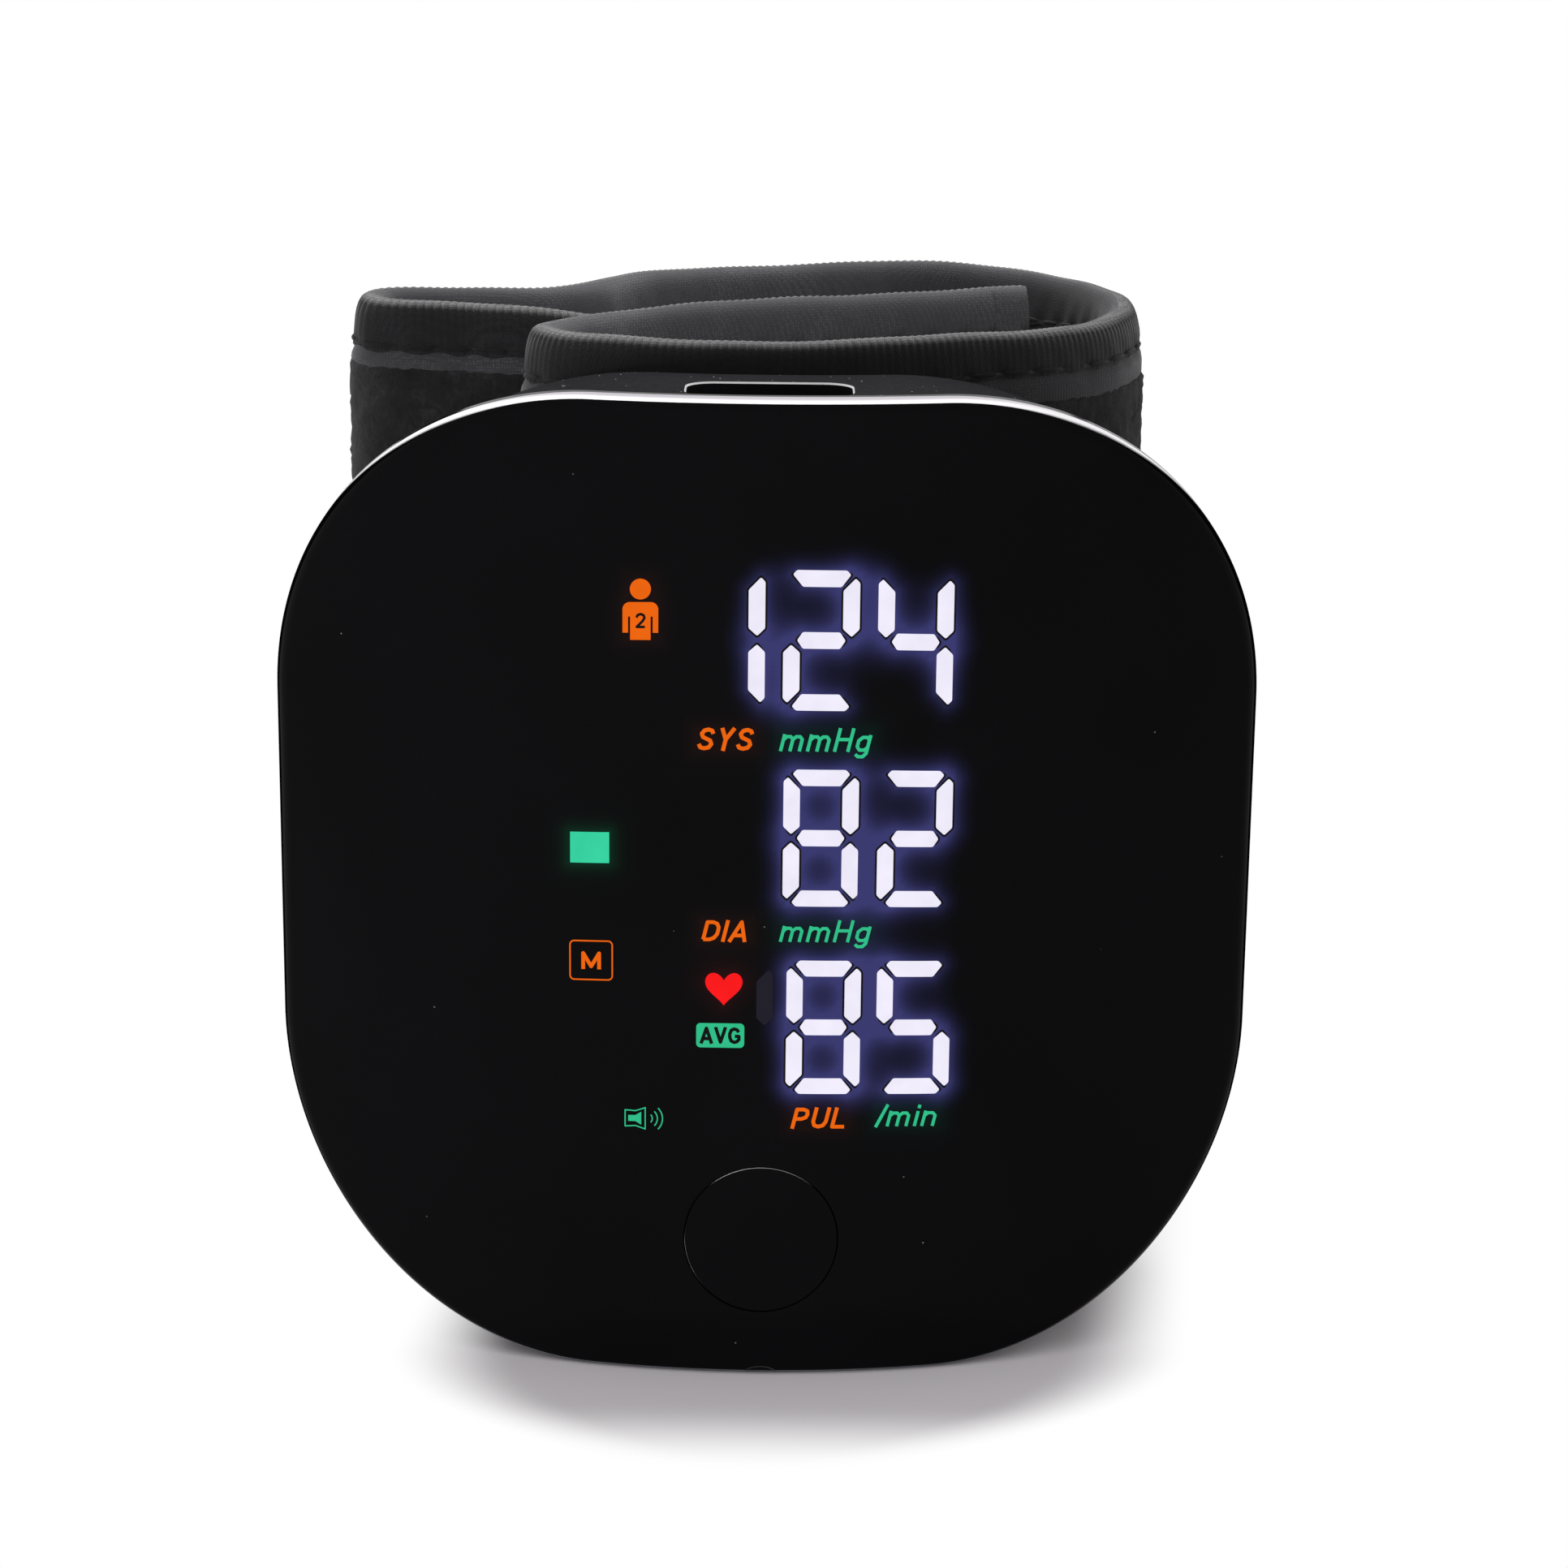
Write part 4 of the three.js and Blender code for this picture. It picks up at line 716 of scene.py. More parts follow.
# Well for the plug, seats for the screws and slots for the sound, cut into the rear shell
SCREWS = range(1, 5)
SCREW_SEAT_DEPTH = 1.65
TURNED_STEPS = 48
SEAT_REACH = 1.0
SOUND_SLOTS = 4
SOUND_PITCH = 2.4
SOUND_HALF = (3.0, 0.5)
SOUND_CORNER = 0.49
SOUND_REACH = (-6.0, 5.0)


def upright_prism(shape, half, corner, levels, steps, polished=(), narrowing=1.0):
    """Upright solid about the socket's middle: a rounded rectangle at each (inset, height) level.

    narrowing is the share of an inset that comes off the corner's radius."""
    rings = []
    for inset, z in levels:
        points = outline(half[0] - inset, half[1] - inset, corner - narrowing * inset, *steps)
        rings.append([shape.verts.new((x, SOCKET_Y + y, z)) for x, y in points])
    close_rings(shape, rings, polished)


def rear_cutters():
    shape = bmesh.new()
    top = CASE_HALF_HEIGHT
    levels = [(-2 * WELL_CHAMFER, top + WELL_CHAMFER), (0.0, top - WELL_CHAMFER), (0.0, top - WELL_DEPTH)]
    half = (WELL_WIDTH / 2 - WELL_INSET, WELL_LENGTH / 2)
    # The chamfer strip takes the painted highlight
    upright_prism(shape, half, WELL_CORNER, levels, (8, 2), polished=(0,))
    for index in SCREWS:
        low, high = node_box(f"case_screw_{index}")
        centre = face_centre(low, high)
        seat = high.y - FACE_FRONT - SCREW_SEAT_DEPTH
        reach = CASE_DEPTH + rear_sag(abs(centre[0]) + SCREW_SEAT_RADIUS) + SEAT_REACH
        profile = [(SCREW_SEAT_RADIUS, seat), (SCREW_SEAT_RADIUS, reach)]
        close_rings(shape, turned_rings(shape, profile, centre, TURNED_STEPS))
    x, z = face_centre(*node_box("speaker"))
    slot = outline(*SOUND_HALF, SOUND_CORNER, corner_steps=6, edge_steps=2)
    back = CASE_DEPTH + rear_sag(x)
    for index in range(SOUND_SLOTS):
        rise = z + (index - (SOUND_SLOTS - 1) / 2) * SOUND_PITCH
        points = [(x + u, rise + v) for u, v in slot]
        close_rings(shape, [add_ring(shape, points, back + reach) for reach in SOUND_REACH])
    return shape


# Case screws with a cross recess
SHANK_TIP = (0.3, 0.9)
SHANK_RADIUS = 0.95
HEAD_HEIGHT = 1.5
HEAD_CROWN = [(1.0, 0.7), (0.92, 0.35), (0.75, 0.12), (0.45, 0.0)]
CROSS_ARM = 1.25
CROSS_HALF = 0.3
CROSS_TAPER = 0.55
CROSS_DEPTH = 0.9
CROSS_PROUD = 0.5


def cross_outline(centre, scale):
    """Cross with four equal arms, as (x, z) pairs about a centre."""
    arm = [(CROSS_ARM, -CROSS_HALF), (CROSS_ARM, CROSS_HALF), (CROSS_HALF, CROSS_HALF)]
    points = []
    for u, v in ((1, 0), (0, 1), (-1, 0), (0, -1)):
        for along, across in arm:
            x, z = u * along - v * across, v * along + u * across
            points.append((centre[0] + x * scale, centre[1] + z * scale))
    return points


def case_screws():
    for index in SCREWS:
        name = f"case_screw_{index}"
        low, high = node_box(name)
        centre = face_centre(low, high)
        tip, top = low.y - FACE_FRONT, high.y - FACE_FRONT
        head = (high.z - low.z) / 2
        profile = [(SHANK_TIP[0], tip), (SHANK_RADIUS, tip + SHANK_TIP[1])]
        profile += [(SHANK_RADIUS, top - HEAD_HEIGHT), (head, top - HEAD_HEIGHT)]
        profile += [(head * share, top - drop) for share, drop in HEAD_CROWN]
        shape = bmesh.new()
        close_rings(shape, turned_rings(shape, profile, centre, TURNED_STEPS))
        piece = finish_piece(f"screw_{index}", shape, [DARK_STEEL], "monitor", weighted=False)
        cross = bmesh.new()
        close_rings(cross, [
            add_ring(cross, cross_outline(centre, 1.0), top + CROSS_PROUD),
            add_ring(cross, cross_outline(centre, CROSS_TAPER), top - CROSS_DEPTH),
        ])
        cut(piece, cross)
        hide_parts(name)


# Charging socket: folded steel shell and a tongue with contacts
SHELL_WALL = 0.3
SHELL_LIP = 0.1
SHELL_INNER_LIP = 0.08
SOCKET_ROUND = 1.4
TONGUE_CORNER = 0.18
TONGUE_TAPER = (0.15, 0.2)
CONTACTS = 12
CONTACT_PITCH = 0.5
CONTACT_HALF = 0.12
CONTACT_PROUD = 0.03
CONTACT_SINK = 0.05
CONTACT_LENGTH = 3.0
CONTACT_DROP = 0.4


def charging_socket():
    half = ((socket_high.x - socket_low.x) / 2, (socket_high.y - socket_low.y) / 2)
    bottom = socket_low.z - FACE_MIDDLE
    lip = SOCKET_TOP - SHELL_LIP
    levels = [(0.0, bottom), (0.0, lip), (SHELL_LIP, SOCKET_TOP), (SHELL_WALL - SHELL_INNER_LIP, SOCKET_TOP)]
    levels += [(SHELL_WALL, lip), (SHELL_WALL, bottom + 2 * SHELL_WALL)]
    shape = bmesh.new()
    upright_prism(shape, half, SOCKET_ROUND, levels, (10, 3))
    piece = finish_piece("socket_shell", shape, [STEEL], "monitor")
    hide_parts("usb_shell")
    low, high = node_box("usb_tongue")
    face = (high.y - low.y) / 2
    top = high.z - FACE_MIDDLE
    levels = [(0.0, low.z - FACE_MIDDLE), (0.0, top - TONGUE_TAPER[1]), (TONGUE_TAPER[0], top)]
    shape = bmesh.new()
    upright_prism(shape, (high.x, face), TONGUE_CORNER, levels, (4, 2), narrowing=0.0)
    piece = finish_piece("socket_tongue", shape, [MOULDED_BLACK], "monitor")
    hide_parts("usb_tongue")
    shape = bmesh.new()
    for side in (-1, 1):
        for index in range(CONTACTS):
            x = (index - (CONTACTS - 1) / 2) * CONTACT_PITCH
            corners = rectangle(x - CONTACT_HALF, x + CONTACT_HALF, face - CONTACT_SINK, face + CONTACT_PROUD)
            close_rings(shape, [
                [shape.verts.new((u, SOCKET_Y + side * v, z)) for u, v in corners]
                for z in (top - CONTACT_LENGTH, top - CONTACT_DROP)
            ])
    piece = finish_piece("socket_contacts", shape, [GOLD], "monitor")


# Display: figures and marks laid on the face
PLATE_PROUD = 0.012
MARK_PROUD = 0.03
OUTLINE_PROUD = 1.6 * PLATE_PROUD
OVER_PROUD = MARK_PROUD + PLATE_PROUD
MARK_STRIP = 0.5
DIGIT_WIDTH = 5.17
DIGIT_HEIGHT = 9.75
BAR = 1.13
RUNG = 1.15
PANEL_LEVEL = 0.25
PANEL_RISE = 0.3
READING_CENTRE = 3.9


def segment_shapes():
    """The seven segments of a figure as (x from the left, drop from the top) outlines."""
    wide = DIGIT_WIDTH
    tall = DIGIT_HEIGHT
    top = [
        (0.9, 0.0), (wide - 0.9, 0.0), (wide - 0.62, 0.3), (wide - 1.26, RUNG), (1.3, RUNG), (0.62, 0.3),
    ]
    upper = [(0.0, 0.84), (0.3, 0.54), (BAR, 1.4), (BAR, 4.05), (0.54, 4.58), (0.0, 4.05)]
    middle_y = tall / 2 - 0.02
    half = RUNG / 2
    middle = [
        (0.94, middle_y), (1.32, middle_y - half), (wide - 1.32, middle_y - half),
        (wide - 0.94, middle_y), (wide - 1.32, middle_y + half), (1.32, middle_y + half),
    ]

    def across(points):
        return [(wide - x, y) for x, y in points]

    def over(points):
        return [(x, tall - y) for x, y in points]

    return {
        "a": top, "f": upper, "b": across(upper), "g": middle,
        "e": over(upper), "c": across(over(upper)), "d": over(across(top)),
    }


SEGMENTS = segment_shapes()
FIGURES = {"1": "bc", "2": "abged", "4": "fgbc", "5": "afgcd", "8": "abcdefg"}
READINGS = [
    ("1", -5.26, 23.22), ("2", 1.14, 23.22), ("4", 7.56, 23.2),
    ("8", 1.27, 9.32), ("2", 7.76, 9.32),
    ("8", 1.62, -4.34), ("5", 7.9, -4.34),
]


def lit_segments():
    """Outlines of all lit segments as (x, z) lists."""
    shapes = []
    for figure, left, top in READINGS:
        for key in FIGURES[figure]:
            shapes.append([(left + x, top - y) for x, y in SEGMENTS[key]])
    return shapes


def level(points, centre):
    """Sets marks level about an upright line, as the display panel behind the bent glass is flat."""
    return [(x, z + PANEL_RISE - PANEL_LEVEL * (front_sag(x) - front_sag(centre))) for x, z in points]


def plate(shape, points, centre, proud=MARK_PROUD, round_off=0.0):
    """Thin plate with an (x, z) outline, lying in front of the face."""
    local = bmesh.new()
    local.faces.new([local.verts.new((x, 0, z)) for x, z in level(points, centre)])
    if round_off:
        bmesh.ops.bevel(
            local, geom=local.verts[:], offset=round_off, segments=3, affect="VERTICES", profile=0.5
        )
    made = bmesh.ops.extrude_face_region(local, geom=local.faces[:])
    for item in made["geom"]:
        if isinstance(item, bmesh.types.BMVert):
            item.co.y = -proud
    mesh = bpy.data.meshes.new("plate")
    local.to_mesh(mesh)
    local.free()
    shape.from_mesh(mesh)
    bpy.data.meshes.remove(mesh)


def laid(name, shape, material):
    """Bends plates over the face and fixes them to the monitor."""
    bend_front(shape, WINDOW_RIGHT, MARK_STRIP)
    piece = finish_piece(name, shape, [material], "monitor", weighted=False)


SHARPEST = 0.5


def grown(points, grow):
    """Outline moved outwards by a distance."""
    centre = Vector((sum(p[0] for p in points), sum(p[1] for p in points))) / len(points)
    moved = []
    count = len(points)
    for k in range(count):
        before, here, after = (Vector(points[(k + step) % count]) for step in (-1, 0, 1))
        first = (here - before).normalized()
        second = (after - here).normalized()
        normals = [Vector((edge.y, -edge.x)) for edge in (first, second)]
        normals = [n if n.dot(here - centre) > 0 or n.dot(here + n - centre) > 0 else -n for n in normals]
        bisector = (normals[0] + normals[1]).normalized()
        reach = grow / max(bisector.dot(normals[0]), SHARPEST)
        moved.append(tuple(here + bisector * reach))
    return moved


DIGIT_WHITE = lit("digit_light", srgb(243, 239, 255))
ORANGE_LIGHT = lit("orange_light", srgb(240, 102, 8))
GREEN_LIGHT = lit("green_light", srgb(48, 193, 138))
SQUARE_LIGHT = lit("square_light", srgb(55, 213, 162))
RED_LIGHT = lit("red_light", srgb(255, 23, 26))
UNLIT = lit("unlit_segment", srgb(31, 29, 40))
MARK_DARK = plain("mark_dark", grey(0.002), grey(0.004), 300.0, 0.2, Specular_IOR_Level=0.05)
DIGIT_ROUND = 0.1
OUTLINE_ROUND = 0.16
OUTLINE_WIDTH = 0.14
UNLIT_CORNER = (-4.5, -4.5)


def figures():
    light = bmesh.new()
    dark = bmesh.new()
    for points in lit_segments():
        plate(light, points, READING_CENTRE, round_off=DIGIT_ROUND)
        plate(dark, grown(points, OUTLINE_WIDTH), READING_CENTRE, OUTLINE_PROUD, OUTLINE_ROUND)
    laid("reading_figures", light, DIGIT_WHITE)
    laid("reading_outlines", dark, MARK_DARK)
    unlit = bmesh.new()
    left, top = UNLIT_CORNER
    plate(unlit, [(left + x, top - y) for x, y in SEGMENTS["b"]], READING_CENTRE, round_off=DIGIT_ROUND)
    laid("unlit_segment", unlit, UNLIT)


# Letters as centre lines on a capital of height 1: width, then strokes
LETTERS = {
    "S": (0.68, [[(0.58, 0.72), (0.5, 0.85), (0.34, 0.9), (0.18, 0.86), (0.1, 0.72), (0.18, 0.58),
                  (0.34, 0.51), (0.52, 0.43), (0.6, 0.28), (0.52, 0.14), (0.34, 0.1), (0.18, 0.14),
                  (0.08, 0.28)]]),
    "Y": (0.72, [[(0.1, 0.97), (0.36, 0.48), (0.62, 0.97)], [(0.36, 0.48), (0.36, 0.0)]]),
    "D": (0.74, [[(0.1, 0.1), (0.1, 0.9), (0.36, 0.9), (0.53, 0.83), (0.63, 0.66), (0.64, 0.5),
                  (0.63, 0.34), (0.53, 0.17), (0.36, 0.1), (0.1, 0.1)]]),
    "I": (0.2, [[(0.1, 0.0), (0.1, 1.0)]]),
    "A": (0.78, [[(0.06, 0.0), (0.39, 0.92), (0.72, 0.0)], [(0.18, 0.3), (0.6, 0.3)]]),
    "P": (0.68, [[(0.1, 0.0), (0.1, 0.9), (0.38, 0.9), (0.54, 0.83), (0.58, 0.68), (0.54, 0.53),
                  (0.38, 0.46), (0.1, 0.46)]]),
    "U": (0.72, [[(0.1, 1.0), (0.1, 0.34), (0.18, 0.16), (0.36, 0.1), (0.54, 0.16), (0.62, 0.34),
                  (0.62, 1.0)]]),
    "L": (0.6, [[(0.1, 1.0), (0.1, 0.1), (0.6, 0.1)]]),
    "m": (0.98, [[(0.09, 0.0), (0.09, 0.72)],
                 [(0.09, 0.48), (0.2, 0.62), (0.36, 0.62), (0.47, 0.5), (0.47, 0.0)],
                 [(0.47, 0.5), (0.58, 0.62), (0.74, 0.62), (0.85, 0.5), (0.85, 0.0)]]),
    "H": (0.74, [[(0.1, 0.0), (0.1, 1.0)], [(0.64, 0.0), (0.64, 1.0)], [(0.1, 0.52), (0.64, 0.52)]]),
    "g": (0.66, [[(0.55, 0.5), (0.44, 0.62), (0.26, 0.62), (0.12, 0.48), (0.12, 0.22), (0.24, 0.08),
                  (0.44, 0.08), (0.55, 0.2)],
                 [(0.55, 0.72), (0.55, -0.06), (0.44, -0.2), (0.24, -0.2), (0.12, -0.1)]]),
    "/": (0.26, [[(0.0, -0.04), (0.26, 1.02)]]),
    "i": (0.2, [[(0.1, 0.0), (0.1, 0.7)], [(0.1, 0.84), (0.1, 1.0)]]),
    "n": (0.62, [[(0.09, 0.0), (0.09, 0.72)],
                 [(0.09, 0.48), (0.2, 0.62), (0.4, 0.62), (0.52, 0.5), (0.52, 0.0)]]),
    "M": (0.86, [[(0.1, 0.0), (0.1, 0.88), (0.43, 0.16), (0.76, 0.88), (0.76, 0.0)]]),
    "V": (0.74, [[(0.06, 1.0), (0.37, 0.1), (0.68, 1.0)]]),
    "G": (0.76, [[(0.64, 0.7), (0.53, 0.85), (0.36, 0.9), (0.18, 0.82), (0.09, 0.6), (0.09, 0.4),
                  (0.18, 0.18), (0.36, 0.1), (0.53, 0.14), (0.65, 0.27), (0.65, 0.46), (0.4, 0.46)]]),
    "2": (0.62, [[(0.08, 0.68), (0.16, 0.84), (0.32, 0.9), (0.48, 0.83), (0.53, 0.66), (0.44, 0.48),
                  (0.1, 0.1), (0.56, 0.1)]]),
}
LETTER_SPACE = 0.11
ITALIC = 0.24
BOLD = 0.165
FINE = 0.14
HEAVY = 0.2
NUMBER_WEIGHT = 0.16


def add_text(target, body, box, slant=0.0, weight=BOLD, proud=MARK_PROUD):
    """Word drawn with even strokes, fitted to (left, right, base, capital height)."""
    left, right, base, cap = box
    total = sum(LETTERS[letter][0] for letter in body) + LETTER_SPACE * (len(body) - 1)
    stretch = (right - left - slant * cap) / total
    centre = (left + right) / 2
    width = weight * cap
    pen = 0.0
    for letter in body:
        advance, strokes = LETTERS[letter]
        for stroke in strokes:
            points = [
                (left + (pen + x) * stretch + slant * cap * z, base + z * cap) for x, z in stroke
            ]
            add_stroke(target, points, width, centre, proud)
        pen += advance + LETTER_SPACE


def add_stroke(target, points, width, centre, proud):
    for first, second in zip(points, points[1:]):
        plate(target, band([first, second], width), centre, proud)
    for x, z in points[1:-1]:
        plate(target, circle(width / 2, x, z, 12), centre, proud)


def band(points, width):
    """Closed outline of a line of even width along points."""
    left, right = [], []
    for k, here in enumerate(points):
        before = Vector(points[max(k - 1, 0)])
        after = Vector(points[min(k + 1, len(points) - 1)])
        along = (after - before).normalized()
        normal = Vector((-along.y, along.x)) * width / 2
        left.append(tuple(Vector(here) + normal))
        right.append(tuple(Vector(here) - normal))
    return left + right[::-1]


# Places of the words and letters, as left, right, base and capital height
PERSON_NUMBER = (-8.93, -8.17, 18.95, 1.12)
MEMORY_LETTER = (-12.72, -11.26, -5.5, 1.32)
AVERAGE_WORD = (-4.36, -1.53, -10.46, 1.23)
ORANGE_WORDS = [
    ("SYS", (-4.79, -0.62, 10.6, 1.66)),
    ("DIA", (-4.38, -0.84, -3.02, 1.56)),
    ("PUL", (1.95, 6.11, -16.68, 1.58)),
]
GREEN_WORDS = [
    ("mmHg", (0.88, 7.49, 10.6, 1.66)),
    ("mmHg", (1.01, 7.66, -3.0, 1.58)),
    ("/min", (7.99, 12.54, -16.7, 1.58)),
]

# Places of the other marks, as left, right, base and top
PERSON_BOX = (-9.78, -7.34, 18.16, 22.4)
PERSON_HEAD = 0.72
PERSON_SHOULDER = 1.62
PERSON_ROUND = 0.5
PERSON_LEGS = 0.7
PERSON_ARMS = 0.84
PERSON_ARMPIT = 1.0
PERSON_HAND = 0.5
MEMORY_BOX = (-13.53, -10.46, -6.31, -3.39)
AVERAGE_BOX = (-4.63, -1.28, -10.74, -8.96)
SQUARE_BOX = (-13.44, -10.71, 2.2, 4.41)
HEART_BOX = (-4.02, -1.43, -7.65, -5.29)
FRAME_CORNER = 0.35
FRAME_WIDTH = 0.1
AVERAGE_CORNER = 0.3


def middle_x(box):
    return (box[0] + box[1]) / 2


def rounded_box(box, corner, inset=0.0):
    """Rounded rectangle in a box, as (x, z) pairs."""
    left, right, base, top = box
    half_width = (right - left) / 2 - inset
    half_height = (top - base) / 2 - inset
    points = outline(half_width, half_height, corner - inset, corner_steps=6, edge_steps=2)
    return [(middle_x(box) + x, (base + top) / 2 + z) for x, z in points]


def labels():
    orange = bmesh.new()
    green = bmesh.new()
    dark = bmesh.new()
    for word, box in ORANGE_WORDS:
        add_text(orange, word, box, ITALIC)
    for word, box in GREEN_WORDS:
        add_text(green, word, box, ITALIC, FINE)
    person(orange, dark)
    memory_mark(orange)
    average_mark(green, dark)
    speaker_mark(green)
    laid("orange_marks", orange, ORANGE_LIGHT)
    laid("green_marks", green, GREEN_LIGHT)
    laid("dark_marks", dark, MARK_DARK)


def person(light, dark):
    _, right, base, top = PERSON_BOX
    middle = middle_x(PERSON_BOX)
    plate(light, circle(PERSON_HEAD, middle, top - PERSON_HEAD, 28), middle)
    shoulder = top - PERSON_SHOULDER
    armpit = shoulder - PERSON_ARMPIT
    hand = base + PERSON_HAND
    half = [(PERSON_LEGS, base), (PERSON_LEGS, armpit), (PERSON_ARMS, armpit), (PERSON_ARMS, hand)]
    half += [(right - middle, hand)]
    half += arc(right - middle - PERSON_ROUND, shoulder - PERSON_ROUND, PERSON_ROUND, 0, 90, 8)
    body = [(middle - x, z) for x, z in half] + [(middle + x, z) for x, z in half[::-1]]
    plate(light, body, middle)
    add_text(dark, "2", PERSON_NUMBER, weight=NUMBER_WEIGHT, proud=OVER_PROUD)


def memory_mark(light):
    """Letter in a rounded frame, which is a plate with a window."""
    loops = [
        level(rounded_box(MEMORY_BOX, FRAME_CORNER, inset), middle_x(MEMORY_BOX))
        for inset in (0.0, FRAME_WIDTH)
    ]
    front, back = ([add_ring(light, points, depth) for points in loops] for depth in (-MARK_PROUD, 0.0))
    join_strips(light, [front[0], front[1], back[1], back[0], front[0]])
    add_text(light, "M", MEMORY_LETTER, weight=HEAVY)


def average_mark(light, dark):
    plate(light, rounded_box(AVERAGE_BOX, AVERAGE_CORNER), middle_x(AVERAGE_BOX))
    add_text(dark, "AVG", AVERAGE_WORD, weight=HEAVY, proud=OVER_PROUD)


# Loudspeaker: halves of the horn and of its core, as (x from the left, distance from the middle)
SPEAKER_LEFT, SPEAKER_MIDDLE = -9.69, -16.21
SPEAKER_CENTRE = SPEAKER_LEFT + 1.4
SPEAKER_LINE = 0.085
SPEAKER_HORN = [(0.08, 0.6), (0.82, 0.55), (1.5, 0.79)]
SPEAKER_CORE = [(0.3, 0.22), (0.8, 0.22), (1.22, 0.48)]
SPEAKER_WAVES = [0.4, 0.76, 1.12]
WAVE_START = 1.6
WAVE_HALF_ANGLE = 44


def speaker_mark(light):
    def whole(half):
        below = [(SPEAKER_LEFT + x, SPEAKER_MIDDLE - z) for x, z in half]
        return below + [(SPEAKER_LEFT + x, SPEAKER_MIDDLE + z) for x, z in half[::-1]]

    horn = whole(SPEAKER_HORN)
    add_stroke(light, horn + horn[:2], SPEAKER_LINE, SPEAKER_CENTRE, MARK_PROUD)
    plate(light, whole(SPEAKER_CORE), SPEAKER_CENTRE)
    for radius in SPEAKER_WAVES:
        wave = arc(SPEAKER_LEFT + WAVE_START, SPEAKER_MIDDLE, radius, -WAVE_HALF_ANGLE, WAVE_HALF_ANGLE)
        plate(light, band(wave, SPEAKER_LINE), SPEAKER_CENTRE)


HEART_STEPS = 48
HEART_LOBE = 2.4
HEART_TERMS = (13, -5, -2, -1)
HEART_SCALE = 16
HEART_TIP, HEART_HEIGHT = 1.06, 1.8


def heart_outline():
    left, right, base, top = HEART_BOX
    points = []
    for k in range(HEART_STEPS):
        turn = 2 * math.pi * k / HEART_STEPS
        x = math.copysign(abs(math.sin(turn)) ** HEART_LOBE, math.sin(turn))
        z = sum(term * math.cos(wave * turn) for wave, term in enumerate(HEART_TERMS, 1)) / HEART_SCALE
        rise = (z + HEART_TIP) / HEART_HEIGHT
        points.append((middle_x(HEART_BOX) + (right - left) / 2 * x, base + rise * (top - base)))
    return points


def square_and_heart():
    square = bmesh.new()
    plate(square, rectangle(*SQUARE_BOX), middle_x(SQUARE_BOX))
    laid("battery_mark", square, SQUARE_LIGHT)
    heart = bmesh.new()
    plate(heart, heart_outline(), middle_x(HEART_BOX))
    laid("heart_mark", heart, RED_LIGHT)


# Painted glow of the display through the dark glass, by colour and reach
WINDOW_LEFT, WINDOW_RIGHT = -16.0, 16.0
WINDOW_BASE, WINDOW_TOP = -18.8, 26.0
WINDOW_STEP = 0.4
WINDOW_SINK = 0.05
GLOW_REACH = 1.0
GLOW_FLOOR = 0.2
GLOW_TOP = 1.5
READING_GLOW = (0.026, 0.026, 0.105)
SQUARE_GLOW = (0.0, 0.024, 0.011)
HEART_GLOW = (0.015, 0.001, 0.001)
ORANGE_GLOW = (0.0065, 0.0014, 0.0008)
GREEN_GLOW = (0.0, 0.0065, 0.0042)
SQUARE_REACH, HEART_REACH, PERSON_REACH, WORD_REACH = 0.42, 0.6, 0.5, 0.45
HEART_CORE = [(-3.9, -6.0), (-2.7, -7.5), (-1.5, -6.0), (-2.1, -5.3), (-3.3, -5.3)]


def distance_to(points, x, z):
    """Distance from arrays of places to an outline's edges, and zero inside it."""
    best = np.full(x.shape, 1e9)
    inside = np.zeros(x.shape, bool)
    count = len(points)
    for k in range(count):
        ax, az = points[k]
        bx, bz = points[(k + 1) % count]
        dx, dz = bx - ax, bz - az
        share = np.clip(((x - ax) * dx + (z - az) * dz) / (dx * dx + dz * dz), 0, 1)
        best = np.minimum(best, np.hypot(x - ax - share * dx, z - az - share * dz))
        crosses = (az > z) != (bz > z)
        if dz:
            inside ^= crosses & (x < ax + (z - az) * dx / dz)
    return np.where(inside, 0.0, best)


def glow_material():
    shader = smoked_glass("display_glow")
    attribute = shader.nodes.new("ShaderNodeAttribute")
    attribute.attribute_name = "Glow"
    shader.light(attribute.outputs["Color"])
    return shader.material


def glow_sources():
    """Outline, colour and reach of the glow round each mark beside the readings."""
    left, right, base, top = PERSON_BOX
    neck = (middle_x(PERSON_BOX) - PERSON_HEAD, middle_x(PERSON_BOX) + PERSON_HEAD)
    shoulder = top - PERSON_SHOULDER
    figure = [(left, base), (right, base), (right, shoulder)]
    figure += [(neck[1], top), (neck[0], top), (left, shoulder)]
    sources = [
        (rectangle(*SQUARE_BOX), SQUARE_GLOW, SQUARE_REACH),
        (HEART_CORE, HEART_GLOW, HEART_REACH),
        (figure, ORANGE_GLOW, PERSON_REACH),
    ]
    for words, shade in ((ORANGE_WORDS, ORANGE_GLOW), (GREEN_WORDS, GREEN_GLOW)):
        for _, (left, right, base, cap) in words:
            sources.append((rectangle(left, right, base, base + cap), shade, WORD_REACH))
    return sources


